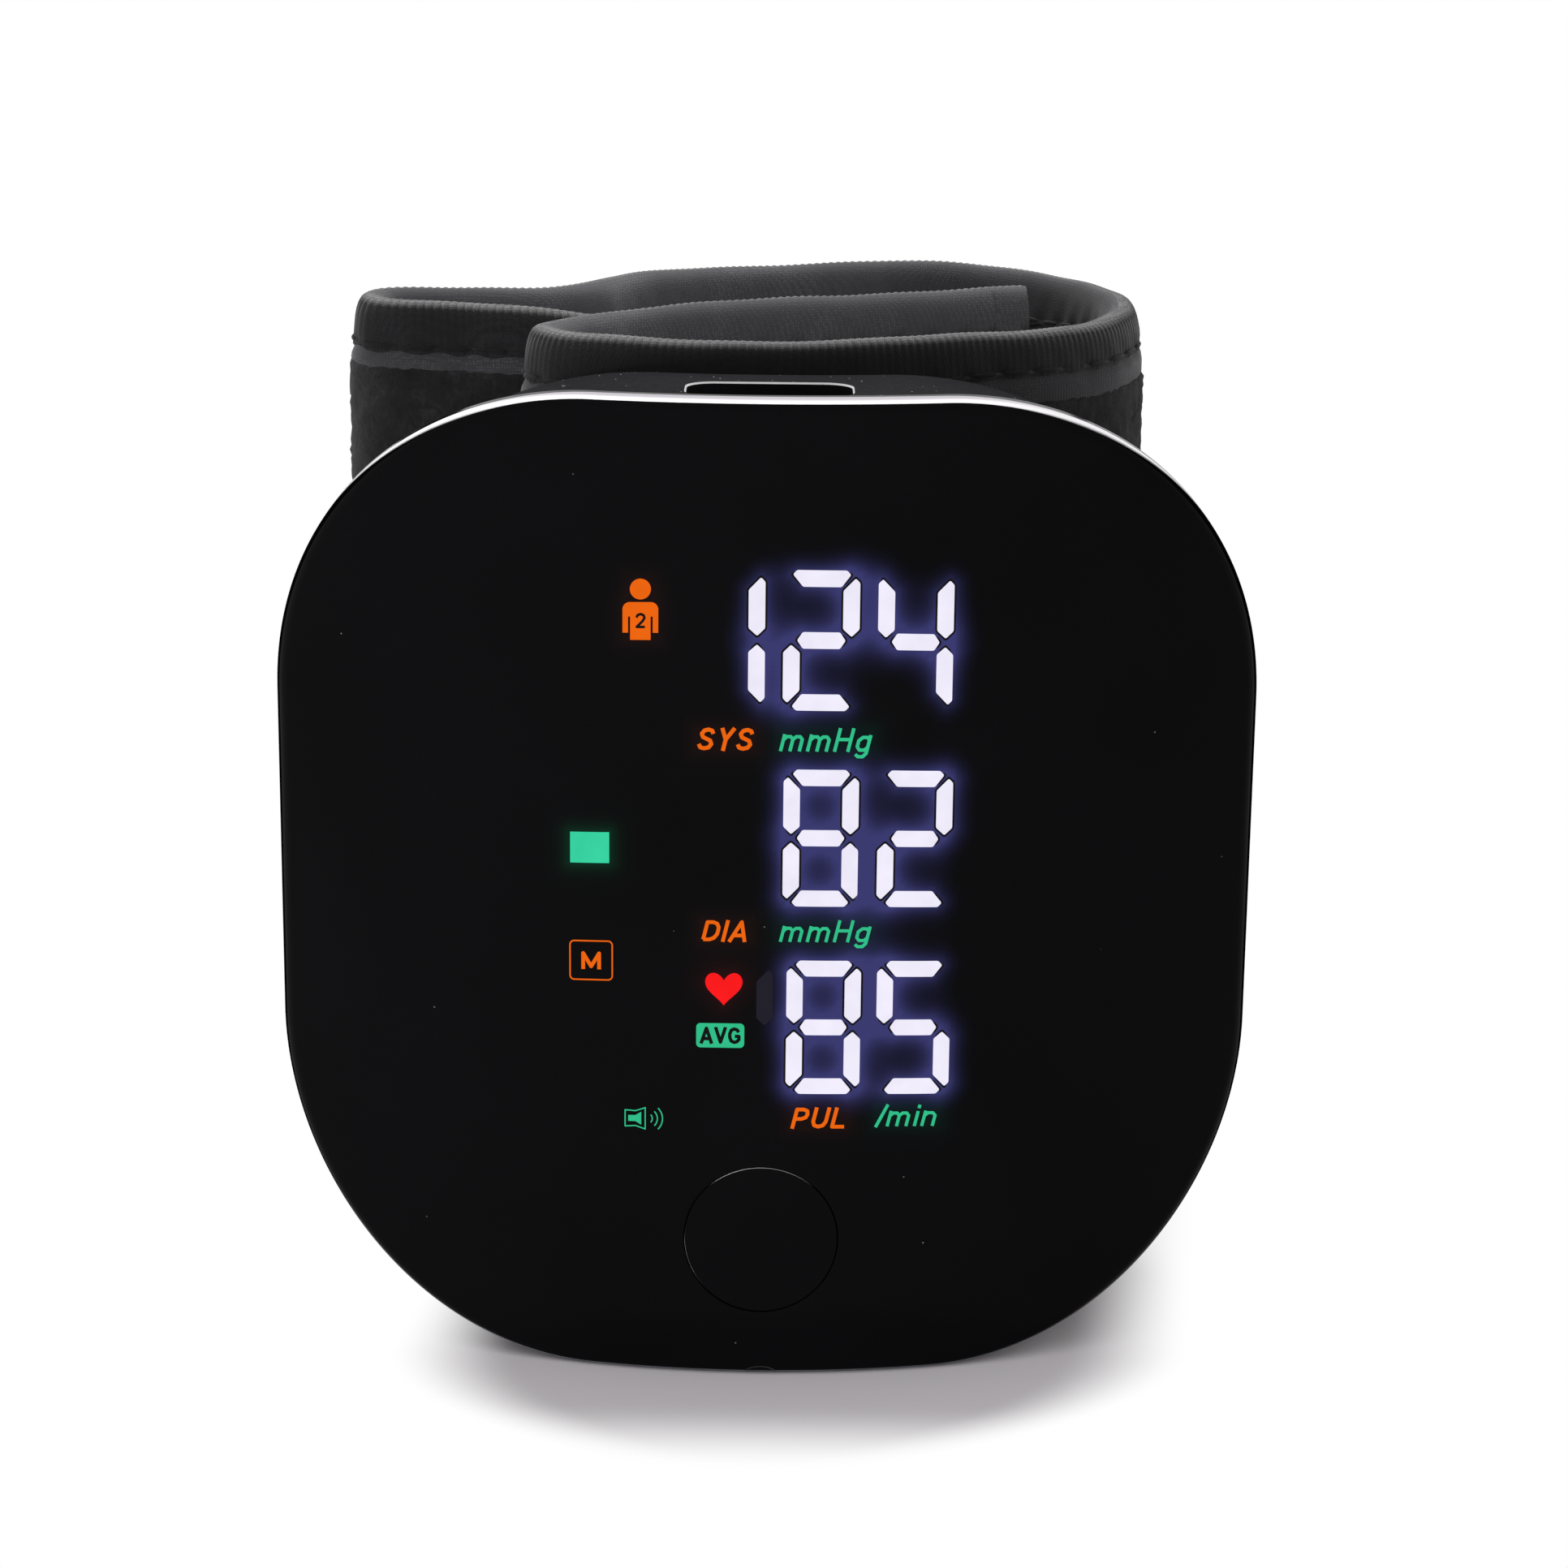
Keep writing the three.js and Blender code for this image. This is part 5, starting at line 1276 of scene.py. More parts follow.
def display_window():
    columns = int((WINDOW_RIGHT - WINDOW_LEFT) / WINDOW_STEP)
    rows = int((WINDOW_TOP - WINDOW_BASE) / WINDOW_STEP)
    across = WINDOW_LEFT + WINDOW_STEP * np.arange(columns + 1)
    up = WINDOW_BASE + WINDOW_STEP * np.arange(rows + 1)
    x, z = np.meshgrid(across, np.concatenate([up, up[::-1]]), indexing="ij")
    depth = front_sag(x) + np.repeat([-PLATE_PROUD, WINDOW_SINK], rows + 1)
    mesh = tube_mesh("display_window", np.stack([x, FACE_FRONT + depth, FACE_MIDDLE + z], axis=-1) * MM)
    piece = add_object("display_window", mesh, [glow_material()], "monitor", HARD_ANGLE)
    x, z = x.ravel(), z.ravel()
    # The glow is painted into the window's own light, as a colour on each point set by its distance from the
    # marks
    spill = np.zeros(len(x))
    for points in lit_segments():
        spill += np.exp(-distance_to(level(points, READING_CENTRE), x, z) / GLOW_REACH)
    colour = np.outer(np.minimum(np.maximum(spill - GLOW_FLOOR, 0.0) ** 2, GLOW_TOP), READING_GLOW)
    for points, shade, reach in glow_sources():
        centre = sum(p[0] for p in points) / len(points)
        colour += np.outer(np.exp(-distance_to(level(points, centre), x, z) / reach), shade)
    layer = piece.data.color_attributes.new("Glow", "FLOAT_COLOR", "POINT")
    values = np.column_stack([colour, np.ones(len(x))]).astype(np.float32)
    layer.data.foreach_set("color", values.ravel())


# Cuff: route of its middle line, as (x, depth behind the wall's nearest point)
SHORT_WING_ROUTE = [
    (20, 32.7), (13.5, 29.7), (6.5, 26.7), (0, 24), (-6, 21.2), (-11.5, 17.5), (-15.6, 13.1), (-17, 8.7),
    (-15.2, 4.9), (-11.4, 2.2), (-6.5, 0.5), (-1, 0), (4.5, 0.9), (9.5, 3.1), (14.2, 5.7), (18.8, 8.7),
    (22.6, 12.5), (25.6, 17.3),
]
FAR_WALL_ROUTE = [
    (27.3, 22.7), (27.4, 28.5), (26, 33.9), (23.5, 39.1), (19.8, 43.7), (15.2, 47.3), (9.8, 49.1),
    (4, 48.5), (-1.5, 46.9), (-6.3, 44.3), (-10.2, 40.7), (-13, 36.5), (-15.2, 32.3), (-18.6, 29.9),
]
FOLD_CENTRE = (-28.6, 26.2)
FOLD_RADIUS = 3.0
FOLD_STEP = 4.6
TAIL_SPACING = 5.4
TAIL_DROP = 0.3
TAIL_TUCK = 1.5
BEND_HALF = 7.0
BEND_END = 6.0
SPAN_STEPS = 40
FOLD_TURNS = 4
TAIL_FOLLOWS = (4, 3, 2)


def cuff_route():
    fold_x, fold_y = FOLD_CENTRE
    route = SHORT_WING_ROUTE + FAR_WALL_ROUTE + [(fold_x + FOLD_STEP, fold_y + FOLD_RADIUS)]
    for step in range(FOLD_TURNS + 1):
        turn = math.pi * (0.5 + step / FOLD_TURNS)
        route.append((fold_x + FOLD_RADIUS * math.cos(turn), fold_y + FOLD_RADIUS * math.sin(turn)))
    route += [(fold_x + FOLD_STEP * step, fold_y - FOLD_RADIUS) for step in (1, 2)]
    for index in TAIL_FOLLOWS:
        before, after = (Vector(SHORT_WING_ROUTE[index + step]) for step in (-1, 1))
        along = (after - before).normalized()
        x, y = SHORT_WING_ROUTE[index]
        route.append((x + along.y * TAIL_SPACING, y - along.x * TAIL_SPACING))
    return np.array(route, float)


def smooth_line(route):
    """Curve through the route's points that bends evenly between unevenly spaced points."""
    ends = np.vstack([2 * route[0] - route[1], route, 2 * route[-1] - route[-2]])
    steps = np.sqrt(np.linalg.norm(np.diff(ends, axis=0), axis=1))
    share = np.linspace(0, 1, SPAN_STEPS, endpoint=False)[:, None]
    spans = []
    for k in range(1, len(ends) - 2):
        p0, p1, p2, p3 = ends[k - 1:k + 3]
        d0, d1, d2 = steps[k - 1:k + 2]
        leave = ((p1 - p0) / d0 - (p2 - p0) / (d0 + d1) + (p2 - p1) / d1) * d1
        reach = ((p2 - p1) / d1 - (p3 - p1) / (d1 + d2) + (p3 - p2) / d2) * d1
        square = 3 * (p2 - p1) - 2 * leave - reach
        cube = 2 * (p1 - p2) + leave + reach
        spans.append(p1 + share * (leave + share * (square + share * cube)))
    return np.vstack(spans + [route[-1:]])


LINE = smooth_line(cuff_route())
RUN = np.concatenate([[0.0], np.cumsum(np.linalg.norm(np.diff(LINE, axis=0), axis=1))])
HEADING = np.gradient(LINE, RUN, axis=0)
HINGE_RUN = RUN[SPAN_STEPS * (len(SHORT_WING_ROUTE) - 1)]
CUFF_RUN = RUN[-1]


def line_at(run):
    """Middle line and outward direction at distances along the cuff."""
    spot = np.stack([np.interp(run, RUN, LINE[:, k]) for k in (0, 1)], axis=-1)
    along = np.stack([np.interp(run, RUN, HEADING[:, k]) for k in (0, 1)], axis=-1)
    along /= np.linalg.norm(along, axis=-1, keepdims=True)
    spot += (run - np.clip(run, 0.0, CUFF_RUN))[..., None] * along
    return spot, np.stack([along[..., 1], -along[..., 0]], axis=-1)


# Waves of the wall and of the upper edge: height, angle per millimetre along and up, angle at the start
SWAY_WAVES = [(0.12, 0.13, 0.05, 1.3), (0.07, 0.29, -0.07, 0.4), (0.03, 0.83, 0.11, 0.0)]
LIFT_WAVES = [(0.16, 0.11, 0.0, 0.5), (0.1, 0.23, 0.0, 2.0), (0.03, 0.71, 0.0, 0.0)]
TAIL_DROP_SPAN = (-62.0, -38.0)
TAIL_TUCK_SPAN = (-28.0, -14.0)


def waves(table, run, z=0.0):
    return sum(height * np.sin(along * run + up * z + start) for height, along, up, start in table)


def lift(run):
    """Slight rise and fall of the upper edge, which is lower towards the tail."""
    past = run - CUFF_RUN
    tail = TAIL_DROP * smooth_step(*TAIL_DROP_SPAN, past)
    tuck = TAIL_TUCK * smooth_step(*TAIL_TUCK_SPAN, past)
    return waves(LIFT_WAVES, run) - tail - tuck


def cuff_places(run, out, z):
    """Places in metres for arrays of distance along the cuff, distance outwards and height."""
    spot, outward = line_at(run)
    height_share = (z - CUFF_BOTTOM) / (CUFF_TOP - CUFF_BOTTOM)
    reach = (out + waves(SWAY_WAVES, run, z))[..., None] * outward
    x = spot[..., 0] + reach[..., 0]
    y = FACE_FRONT + WALL_MIDDLE + spot[..., 1] + reach[..., 1]
    return np.stack([x, y, FACE_MIDDLE + z + lift(run) * height_share], axis=-1) * MM


def closed_mesh(name, places, faces, finishes=None):
    """Mesh with its faces turned outwards. finishes gives the material of each face."""
    mesh = bpy.data.meshes.new(name)
    mesh.from_pydata(places, [], faces)
    if finishes is not None:
        mesh.polygons.foreach_set("material_index", np.array(finishes, np.int32))
    shape = bmesh.new()
    shape.from_mesh(mesh)
    bmesh.ops.recalc_face_normals(shape, faces=shape.faces[:])
    shape.to_mesh(mesh)
    shape.free()
    return mesh


def tube_faces(rows, count):
    """Faces of a tube through a row of closed loops, with its ends capped."""
    index = np.arange(rows * count).reshape(rows, count)
    following = np.roll(index, -1, axis=1)
    strips = np.stack([index[:-1], following[:-1], following[1:], index[1:]], axis=-1)
    return strips.reshape(-1, 4).tolist() + [index[0][::-1].tolist(), index[-1].tolist()]


def tube_mesh(name, loops, sides=None):
    """Closed mesh along a row of loops of places. sides gives the material of each strip around."""
    rows, count = loops.shape[:2]
    finishes = None if sides is None else np.concatenate([np.tile(sides, rows - 1), [0, 0]])
    return closed_mesh(name, loops.reshape(-1, 3), tube_faces(rows, count), finishes)


SECTIONS = {
    "cuff": (0.0, HINGE_RUN - BEND_HALF, "monitor"),
    "bend": (HINGE_RUN - BEND_HALF, HINGE_RUN + BEND_HALF, None),
    "strap": (HINGE_RUN + BEND_HALF, CUFF_RUN, "strap"),
}


def add_cloth(name, section, mesh, materials):
    """Lets a mesh of the cuff follow its body, where its section has one."""
    piece = add_object(name, mesh, materials, SECTIONS[section][2], SOFT_ANGLE)
    if section == "bend":
        ends, _ = line_at(np.array([HINGE_RUN - BEND_END, HINGE_RUN + BEND_END]))
        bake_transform(piece)
    return piece


def add_layer(name, section, loops, materials, sides=None):
    return add_cloth(name, section, tube_mesh(name, loops, sides), materials)


def stations(section, step, trim=0.0):
    """Distances along a section, less a trim at a free end of the cuff."""
    start, stop, _ = SECTIONS[section]
    start, stop = max(start, trim), min(stop, CUFF_RUN - trim)
    return np.linspace(start, stop, max(int(round((stop - start) / step)), 2) + 1)


LAYER_ROLL = 0.5
LAYER_EDGE = 0.3


def slab_loops(run, inner, outer, base, top, rise, relief=None, fray=0.0):
    """Loops of a layer between two distances outwards, with rounded upper and lower edges."""
    count = max(int(round((top - base) / rise)), 2)
    z = np.linspace(base, top, count + 1)
    edge = np.minimum(1.0, np.minimum(z - base, top - z) / LAYER_ROLL + LAYER_EDGE)
    middle = (inner + outer) / 2
    out = np.concatenate([middle + (outer - middle) * edge, (middle + (inner - middle) * edge)[::-1]])
    heights = np.concatenate([z, z[::-1]])
    runs = np.broadcast_to(run[:, None], (len(run), len(heights)))
    heights = np.broadcast_to(heights, runs.shape).copy()
    outs = np.broadcast_to(out, runs.shape).copy()
    if relief is not None:
        outs[:, :count + 1] += relief(runs[:, :count + 1], heights[:, :count + 1])
    if fray:
        ragged = np.random.default_rng(3).normal(0.0, fray, (len(run), 2))
        heights[:, [0, -1]] -= ragged[:, :1]
        heights[:, [count, count + 1]] += ragged[:, 1:]
    return cuff_places(runs, outs, heights)


# The tape shows less of its height round the right-hand turn, from before to after the hinge
TURN_NARROWS = 0.2
TURN_BEFORE = (-26.0, -12.0)
TURN_AFTER = (8.0, 24.0)


def tape_share(run):
    """Share of the tape's full height that shows."""
    past = run - HINGE_RUN
    return 1.0 - TURN_NARROWS * (smooth_step(*TURN_BEFORE, past) - smooth_step(*TURN_AFTER, past))


def bell(value, centre, reach):
    return np.exp(-(((value - centre) / reach) ** 2))


FLARE = 0.35
FLARE_SPAN = (-0.2, 0.9)
UNDER_SPAN = (0.1, 0.6)
END_FADE = 0.6
STITCH_PULL = 0.08
PULL_REACH = 0.5
PILE_TUFT = 0.06


def shell_relief(run, z):
    """The shell flares from under the tape to the loop cloth, drawn in at each stitch."""
    drop = np.minimum(CUFF_TOP - z, z - CUFF_BOTTOM)
    hem = TAPE_SHOWN * tape_share(run)
    held = 0.5 + 0.5 * np.cos(2 * np.pi * run / STITCH_PITCH)
    flare = smooth_step(*FLARE_SPAN, drop - hem)
    under = smooth_step(*UNDER_SPAN, drop - PILE_MARGIN)
    end = smooth_step(-END_FADE, END_FADE, np.minimum(run, CUFF_RUN - run) - END_TAPE_REACH)
    return FLARE * flare * (1 - under) * end - STITCH_PULL * held * bell(drop, hem, PULL_REACH)


def pile_relief(run, z):
    """Tufts of brushed loops, from a fixed set of random numbers."""
    return np.random.default_rng(7).normal(0.0, PILE_TUFT, run.shape)


# Edge tape: profile as distance outwards and drop from the edge, ribs and stitches
END_TAPE_REACH = 3.2
PILE_TRIM = END_TAPE_REACH - 0.3
RIB_PITCH = 0.62
RIB_SAMPLES = 6
RIB_HEIGHT = 0.036
RIB_FADE = 0.65
RIB_FADE_SPAN = (0.3, 1.7)
RIB_FACE = (-0.7, 0.2)
CREST_HALF = 1.1
STITCH_PITCH = 2.9
STITCH_LENGTH = 2.1
STITCH_DROP = 3.5
STITCH_FACE = 1.58
PUCKER = 0.2
PUCKER_MIDDLE = 0.55
PUCKER_REACH = 0.28
SLACK = 0.04
SLACK_DROP, SLACK_REACH = 2.6, 0.7
SCALLOP = 0.13
SCALLOP_SPAN = (3.2, 3.8)
TAPE_PROFILE = [
    (1.25, 4.0), (1.5, 3.98), (1.6, 3.84), (1.6, 3.66), (1.58, 3.5), (1.56, 3.3), (1.52, 3.0), (1.47, 2.4),
    (1.38, 1.7), (1.25, 1.1), (1.08, 0.66), (0.86, 0.32), (0.58, 0.1), (0.22, 0.0),
]
TAPE_INSIDE = [(-0.85, 1.5), (0.85, 1.5)]

# Points of a folded tape's profile that lie inside the cuff
HIDDEN = [0, -3, -2, -1]


def fold_tape(profile, inside):
    """A tape's profile on both faces: distances outwards, distances in from its edge, and what shows."""
    back = [(-out, reach) for out, reach in profile[::-1]]
    out, reach = np.array(profile + back + inside).T
    shown = np.ones(len(out))
    shown[HIDDEN] = 0.0
    return out, reach, shown


def tape_sides(profile):
    """Material of each strip round a folded tape, whose inner face has the second one."""
    return [0] * len(profile) + [1] * len(profile) + [0, 0]


def ribs(along, out, shown):
    """Heights of the ribs across a tape, which fade towards its inner face."""
    return RIB_HEIGHT * np.cos(2 * np.pi * along / RIB_PITCH) * shown * smooth_step(*RIB_FACE, out)


def tape_loops(run, upper):
    """Loops of the folded edge tape: ribbed outside, tight at the rim and drawn in along the stitches."""
    out, drop, shown = fold_tape(TAPE_PROFILE, TAPE_INSIDE)
    runs = np.broadcast_to(run[:, None], (len(run), len(out)))
    rib = ribs(runs, out, shown) * (1 - RIB_FADE * smooth_step(*RIB_FADE_SPAN, drop))
    turn = 2 * np.pi * runs / STITCH_PITCH
    held = PUCKER_MIDDLE + (1 - PUCKER_MIDDLE) * np.cos(turn)
    pucker = PUCKER * held * bell(drop, STITCH_DROP, PUCKER_REACH) * shown
    slack = SLACK * np.sin(turn) * bell(drop, SLACK_DROP, SLACK_REACH) * shown
    outs = out + np.sign(out) * (rib - pucker + slack)
    hem = SCALLOP * np.cos(turn) * smooth_step(*SCALLOP_SPAN, drop)
    drops = (drop - hem) * tape_share(runs) - rib * (np.abs(out) < CREST_HALF)
    heights = CUFF_TOP - drops if upper else np.maximum(CUFF_BOTTOM + drops, CUFF_BOTTOM)
    return cuff_places(runs, outs, heights)


STITCH_RADIUS = 0.14
STITCH_RISE = 0.06
STITCH_SINK = 0.02
STITCH_FLAT = 0.7
STITCH_ENDS = 6
STITCH_TIP = 0.02
STITCH_RINGS = 9
STITCH_SIDES = 6


def stitch_loops(section, upper, side):
    """Loops of places along each thread stitch on one face of the tape."""
    start, stop, _ = SECTIONS[section]
    index = np.arange(math.ceil(start / STITCH_PITCH), math.floor(stop / STITCH_PITCH))
    begin = index * STITCH_PITCH + (STITCH_PITCH - STITCH_LENGTH) / 2
    share = np.linspace(0, 1, STITCH_RINGS)[:, None]
    turns = np.linspace(0, 2 * np.pi, STITCH_SIDES, endpoint=False)
    runs = begin[:, None, None] + share * STITCH_LENGTH + np.zeros(STITCH_SIDES)
    ring = STITCH_RADIUS * np.sqrt(np.maximum(1 - (2 * share - 1) ** STITCH_ENDS, STITCH_TIP))
    rise = STITCH_RISE * np.sin(np.pi * share) - STITCH_SINK
    outs = side * (STITCH_FACE + rise + ring * np.cos(turns) * STITCH_FLAT)
    drops = STITCH_DROP * tape_share(runs) + ring * np.sin(turns)
    heights = CUFF_TOP - drops if upper else CUFF_BOTTOM + drops
    return cuff_places(runs, np.broadcast_to(outs, runs.shape), heights)


def stitch_rows(section):
    """Rows of stitches on both faces of both edge tapes."""
    places, threads = [], []
    for upper in (True, False):
        for thread, side in enumerate((1, -1)):
            loops = stitch_loops(section, upper, side)
            places.append(loops.reshape(-1, 3))
            threads += [thread] * len(loops)
    one = tube_faces(STITCH_RINGS, STITCH_SIDES)
    count = STITCH_RINGS * STITCH_SIDES
    faces = [[k * count + corner for corner in face] for k in range(len(threads)) for face in one]
    name = f"stitches_{section}"
    mesh = closed_mesh(name, np.concatenate(places), faces, np.repeat(threads, len(one)))
    return add_cloth(name, section, mesh, [THREAD, LINING_CLOTH])


END_TAPE_COVER = 0.1
END_TAPE_FACE = 1.7
END_TAPE_PROFILE = [
    (END_TAPE_FACE - 0.25, END_TAPE_REACH), (END_TAPE_FACE - 0.1, END_TAPE_REACH - 0.1),
    (END_TAPE_FACE, END_TAPE_REACH - 0.4), (END_TAPE_FACE, 1.2), (END_TAPE_FACE - 0.25, 0.3),
    (END_TAPE_FACE - 0.6, -0.1), (0.45, -0.34),
]
END_TAPE_INSIDE = [(-1.2, 1.2), (1.2, 1.2)]
END_CREST_HALF = 1.5


def end_tape(section):
    """Tape folded over a free end of the cuff, closing the ends of the edge tapes."""
    out, reach, shown = fold_tape(END_TAPE_PROFILE, END_TAPE_INSIDE)
    z = np.arange(CUFF_BOTTOM, CUFF_TOP + END_TAPE_COVER / 2, RIB_PITCH / RIB_SAMPLES)
    edge_drop = np.minimum(z - CUFF_BOTTOM, CUFF_TOP - z)
    edge = np.array(TAPE_PROFILE[:1:-1])
    cover = np.interp(edge_drop, edge[:, 1], edge[:, 0]) + END_TAPE_COVER
    rib = ribs(z[:, None], out, shown) * smooth_step(0.0, 1.0, edge_drop)[:, None]
    outs = out * (cover / END_TAPE_FACE)[:, None] + np.sign(out) * rib
    runs = reach - rib * (np.abs(out) < END_CREST_HALF)
    if section == "strap":
        runs = CUFF_RUN - runs
    loops = cuff_places(runs, outs, np.broadcast_to(z[:, None], outs.shape))
    sides = tape_sides(END_TAPE_PROFILE)
    return add_layer(f"end_tape_{section}", section, loops, [TAPE, LINING_CLOTH], sides)


# Layers of the cuff, from the lining to the brushed loops
CORE_HALF = 0.15
SHELL_STEP, SHELL_RISE = 0.6, 0.4
LINING_RISE = 1.2
PILE_STEP = 0.5
PILE_SINK = 0.1
PILE_FRAY = 0.1
LAYER_INSET = 2.6
LAYER_BASE = CUFF_BOTTOM + LAYER_INSET
LAYER_TOP = CUFF_TOP - LAYER_INSET
REPLACED = {
    "cuff": {
        "shell": ["cuff_outer_fabric"], "lining": ["cuff_lining"],
        "upper_tape": ["cuff_upper_binding"], "lower_tape": ["cuff_lower_binding"],
    },
    "bend": {},
    "strap": {
        "shell": ["strap_outer_fabric"], "lining": ["strap_lining", "strap_padding"],
        "upper_tape": ["strap_upper_binding"], "lower_tape": ["strap_lower_binding"],
    },
}


def cuff_layers():
    for section, (start, stop, _) in SECTIONS.items():
        coarse = stations(section, SHELL_STEP)
        loops = slab_loops(
            coarse, CORE_HALF, SANDWICH_FACE, LAYER_BASE, LAYER_TOP, SHELL_RISE, shell_relief
        )
        shell = add_layer(f"shell_{section}", section, loops, [SHELL_CLOTH])
        loops = slab_loops(coarse, -SANDWICH_FACE, -CORE_HALF, LAYER_BASE, LAYER_TOP, LINING_RISE)
        lining = add_layer(f"lining_{section}", section, loops, [LINING_CLOTH])
        tufted = stations(section, PILE_STEP, PILE_TRIM)
        loops = slab_loops(
            tufted, SANDWICH_FACE - PILE_SINK, PILE_FACE - PILE_SINK, CUFF_BOTTOM + PILE_MARGIN,
            CUFF_TOP - PILE_MARGIN, PILE_STEP, pile_relief, PILE_FRAY,
        )
        pile_piece = add_layer(f"pile_{section}", section, loops, [LOOP_PILE])
        fine = stations(section, RIB_PITCH / RIB_SAMPLES)
        upper, lower = (
            add_layer(
                f"{end}_tape_{section}", section, tape_loops(fine, end == "upper"), [TAPE, LINING_CLOTH],
                tape_sides(TAPE_PROFILE),
            )
            for end in ("upper", "lower")
        )
        sewn_on = [upper, lower, stitch_rows(section)]
        if section != "bend":
            sewn_on.append(end_tape(section))
        for key, nodes in REPLACED[section].items():
            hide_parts(*nodes)


def run_at_x(x, part):
    """Distance along the cuff where a part of its middle line crosses an upright plane."""
    return RUN[part][np.argmin(np.abs(LINE[part, 0] - x))]


HOOK_PITCH = 1.0
HOOK_HEIGHT = 0.1


def hook_relief(run, z):
    return HOOK_HEIGHT * np.cos(2 * np.pi * run / HOOK_PITCH) * np.cos(2 * np.pi * z / HOOK_PITCH)


PATCH_STEP = 0.25
PATCH_SINK = 0.25
LOOP_PATCH_FACE = 2.2
HOOK_PATCH_FACE = 2.4
WING_SPANS = 6
TAIL_SPANS = 5


def closing_patches():
    wing = slice(0, SPAN_STEPS * WING_SPANS)
    tail = slice(len(LINE) - SPAN_STEPS * TAIL_SPANS, len(LINE))
    patches = [
        ("loop_patch", "cuff_loop_patch", wing, "cuff", LOOP_PATCH_FACE, pile_relief, LOOP_PILE),
        ("hook_patch", "strap_hook_patch", tail, "strap", HOOK_PATCH_FACE, hook_relief, HOOK_TAPE),
    ]
    for name, node, part, section, face, relief, material in patches:
        low, high = node_box(node)
        ends = sorted((run_at_x(low.x, part), run_at_x(high.x, part)))
        run = np.arange(ends[0], ends[1], PATCH_STEP)
        base, top = low.z - FACE_MIDDLE, high.z - FACE_MIDDLE
        loops = slab_loops(run, PILE_FACE - PATCH_SINK, face, base, top, PATCH_STEP, relief)
        piece = add_layer(name, section, loops, [material])
        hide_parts(node)


# Other CAD nodes keep their shape and take a finish of their own
CARRIED = {
    "display_module": MOULDED_BLACK, "main_board": BOARD_GREEN, "battery_pack": FOIL, "pump_motor": STEEL,
    "pump_head": MOULDED_BLACK, "release_valve": STEEL, "pressure_sensor": MOULDED_BLACK,
    "air_manifold": FITTING, "pump_tube": CLEAR_TUBE, "valve_tube": CLEAR_TUBE, "sensor_tube": CLEAR_TUBE,
    "speaker": MOULDED_BLACK, "cuff_mount_frame": CASE_PLASTIC, "cuff_nozzle": FITTING,
    "cuff_stiffener": MOULDED_BLACK, "air_bladder": FILM, "switch_body": MOULDED_BLACK,
    "switch_stem": FITTING,
}


def finish_carried_nodes():
    for name, material in CARRIED.items():
        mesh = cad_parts[name].data
        mesh.materials.clear()
        mesh.materials.append(material)


front_lens()
pry_notch()
start_button()
front_shell()
adhesive_bed()
rear_shell()
case_screws()
charging_socket()
display_window()
figures()
labels()
square_and_heart()
cuff_layers()
closing_patches()
finish_carried_nodes()


# Camera at the photograph's angle
CAMERA_LENS = 87.1
CAMERA_DOWN = 14.8
CAMERA_ROLL = 0.617
CAMERA_DISTANCE = 259.4
CAMERA_TARGET = (1.298, 0.0, 8.62)


def add_camera():
    data = bpy.data.cameras.new("camera")
    data.sensor_width = 36.0
    data.lens = CAMERA_LENS
    data.clip_start = 0.01
    data.clip_end = 20.0
    camera = bpy.data.objects.new("camera", data)
    tilt = Matrix.Rotation(math.radians(90 - CAMERA_DOWN), 4, "X")
    roll = Matrix.Rotation(math.radians(CAMERA_ROLL), 4, "Z")
    back = Matrix.Translation((0.0, 0.0, CAMERA_DISTANCE * MM))
    camera.matrix_world = Matrix.Translation(place(*CAMERA_TARGET)) @ tilt @ back @ roll
    bpy.context.scene.collection.objects.link(camera)
    bpy.context.scene.camera = camera


def white_for_view(tree):
    """Factor that is 1 for rays from the camera and for mirror-like and clear surfaces."""
    path = tree.nodes.new("ShaderNodeLightPath").outputs
    bounced = maths(tree, "MAXIMUM", path["Is Glossy Ray"], path["Is Transmission Ray"])
    return maths(tree, "MAXIMUM", path["Is Camera Ray"], bounced)


HORIZON_LIGHT = 0.2
ZENITH_LIGHT = 0.75


def add_world():
    world = bpy.data.worlds.new("studio")
    bpy.context.scene.world = world
    world.use_nodes = True
    tree = world.node_tree
    background = tree.nodes["Background"]
    background.inputs["Color"].default_value = (1.0, 1.0, 1.0, 1.0)
    direction = tree.nodes.new("ShaderNodeTexCoord").outputs["Generated"]
    light = map_range(tree, split_axes(tree, direction)["Z"], HORIZON_LIGHT, ZENITH_LIGHT)
    strength = maths(tree, "MAXIMUM", white_for_view(tree), light)
    tree.links.new(strength, background.inputs["Strength"])


def add_lamp(name, spot, target, size, power, mirrored=True):
    data = bpy.data.lights.new(name, "AREA")
    data.shape = "ELLIPSE"
    data.size, data.size_y = size
    data.energy = power
    lamp = bpy.data.objects.new(name, data)
    lamp.location = spot
    lamp.rotation_mode = "QUATERNION"
    lamp.rotation_quaternion = (Vector(target) - Vector(spot)).to_track_quat("-Z", "Y")
    lamp.visible_glossy = mirrored
    bpy.context.scene.collection.objects.link(lamp)


# Floor in metres, and where the shadow on it starts and stops fading, in millimetres
FLOOR_COLOUR = (0.965, 0.915, 0.95, 1.0)
FLOOR_HALF = 3.0
SHADOW_CENTRE = 1.6
SHADOW_LEAN = 0.13
SHADOW_SIDE = (19.6, 29.1)
SHADOW_AHEAD = (4.8, 16.0)
SHADOW_BEHIND = (70.0, 100.0)
SHADOW_ROUND = 0.05
SHADOW_ROUND_START = 4.9


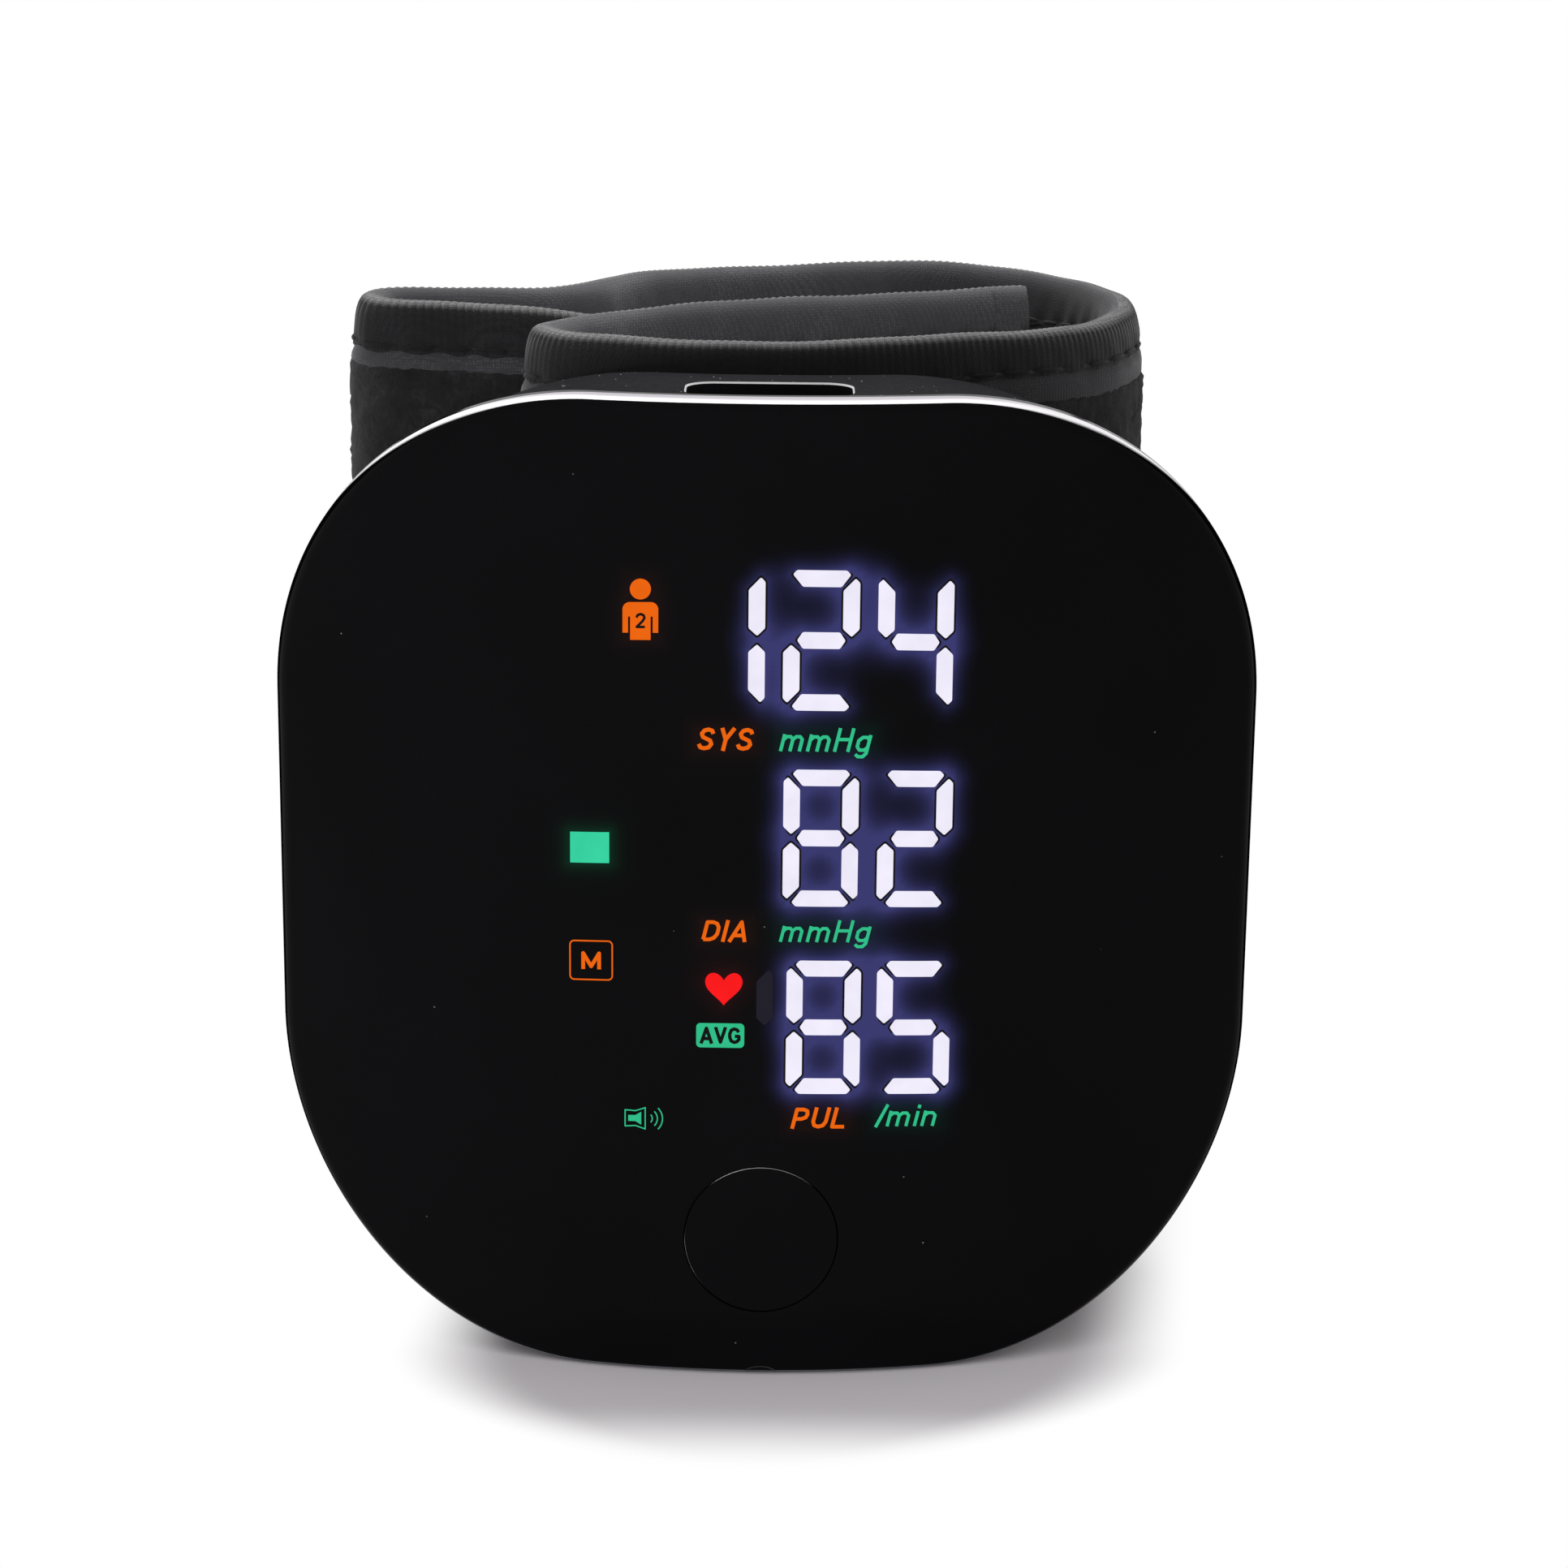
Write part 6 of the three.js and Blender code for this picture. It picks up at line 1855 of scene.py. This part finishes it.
def add_floor():
    """White floor that keeps the soft shadow under the monitor and fades to plain white around it."""
    mesh = bpy.data.meshes.new("floor")
    corners = [(-1, -1), (1, -1), (1, 1), (-1, 1)]
    mesh.from_pydata([(x * FLOOR_HALF, y * FLOOR_HALF, 0.0) for x, y in corners], [], [(0, 1, 2, 3)])
    floor = bpy.data.objects.new("floor", mesh)
    bpy.context.scene.collection.objects.link(floor)
    shader = Shader("floor_white")
    shader.set(Base_Color=FLOOR_COLOUR, Roughness=0.9, Specular_IOR_Level=0.0)
    tree = shader.tree
    axes = split_axes(tree, shader.place)
    behind = maths(tree, "SUBTRACT", axes["Y"], FACE_FRONT * MM)
    ahead = maths(tree, "MULTIPLY", behind, -1.0)
    middle = maths(tree, "MULTIPLY_ADD", behind, SHADOW_LEAN, SHADOW_CENTRE * MM)
    aside = maths(tree, "ABSOLUTE", maths(tree, "SUBTRACT", axes["X"], middle))
    past = maths(tree, "MAXIMUM", maths(tree, "ADD", ahead, SHADOW_ROUND_START * MM), 0.0)
    aside = maths(tree, "MULTIPLY_ADD", maths(tree, "MULTIPLY", past, past), SHADOW_ROUND / MM, aside)
    kept = 1.0
    for source, (full, none) in ((aside, SHADOW_SIDE), (ahead, SHADOW_AHEAD), (behind, SHADOW_BEHIND)):
        share = map_range(tree, source, 1.0, 0.0, full * MM, none * MM, "SMOOTHSTEP")
        kept = maths(tree, "MULTIPLY", kept, share)
    factor = maths(tree, "MULTIPLY", maths(tree, "SUBTRACT", 1.0, kept), white_for_view(tree))
    glow = tree.nodes.new("ShaderNodeEmission")
    mixed = tree.nodes.new("ShaderNodeMixShader")
    tree.links.new(factor, mixed.inputs["Fac"])
    tree.links.new(shader.bsdf.outputs["BSDF"], mixed.inputs[1])
    tree.links.new(glow.outputs["Emission"], mixed.inputs[2])
    tree.links.new(mixed.outputs["Shader"], tree.nodes["Material Output"].inputs["Surface"])
    mesh.materials.append(shader.material)


add_camera()
add_world()

# Lamps by place, target and size in metres
add_lamp("top_light", (0.0, 0.3, 0.76), (0.0, 0.0, 0.0), size=(0.34, 0.34), power=4.6)
add_lamp("low_front_light", (-0.4, -0.72, 0.03), (0.0, 0.0, 0.04), (0.6, 0.05), power=6.4, mirrored=False)
add_floor()
bpy.context.scene.view_settings.view_transform = "Standard"
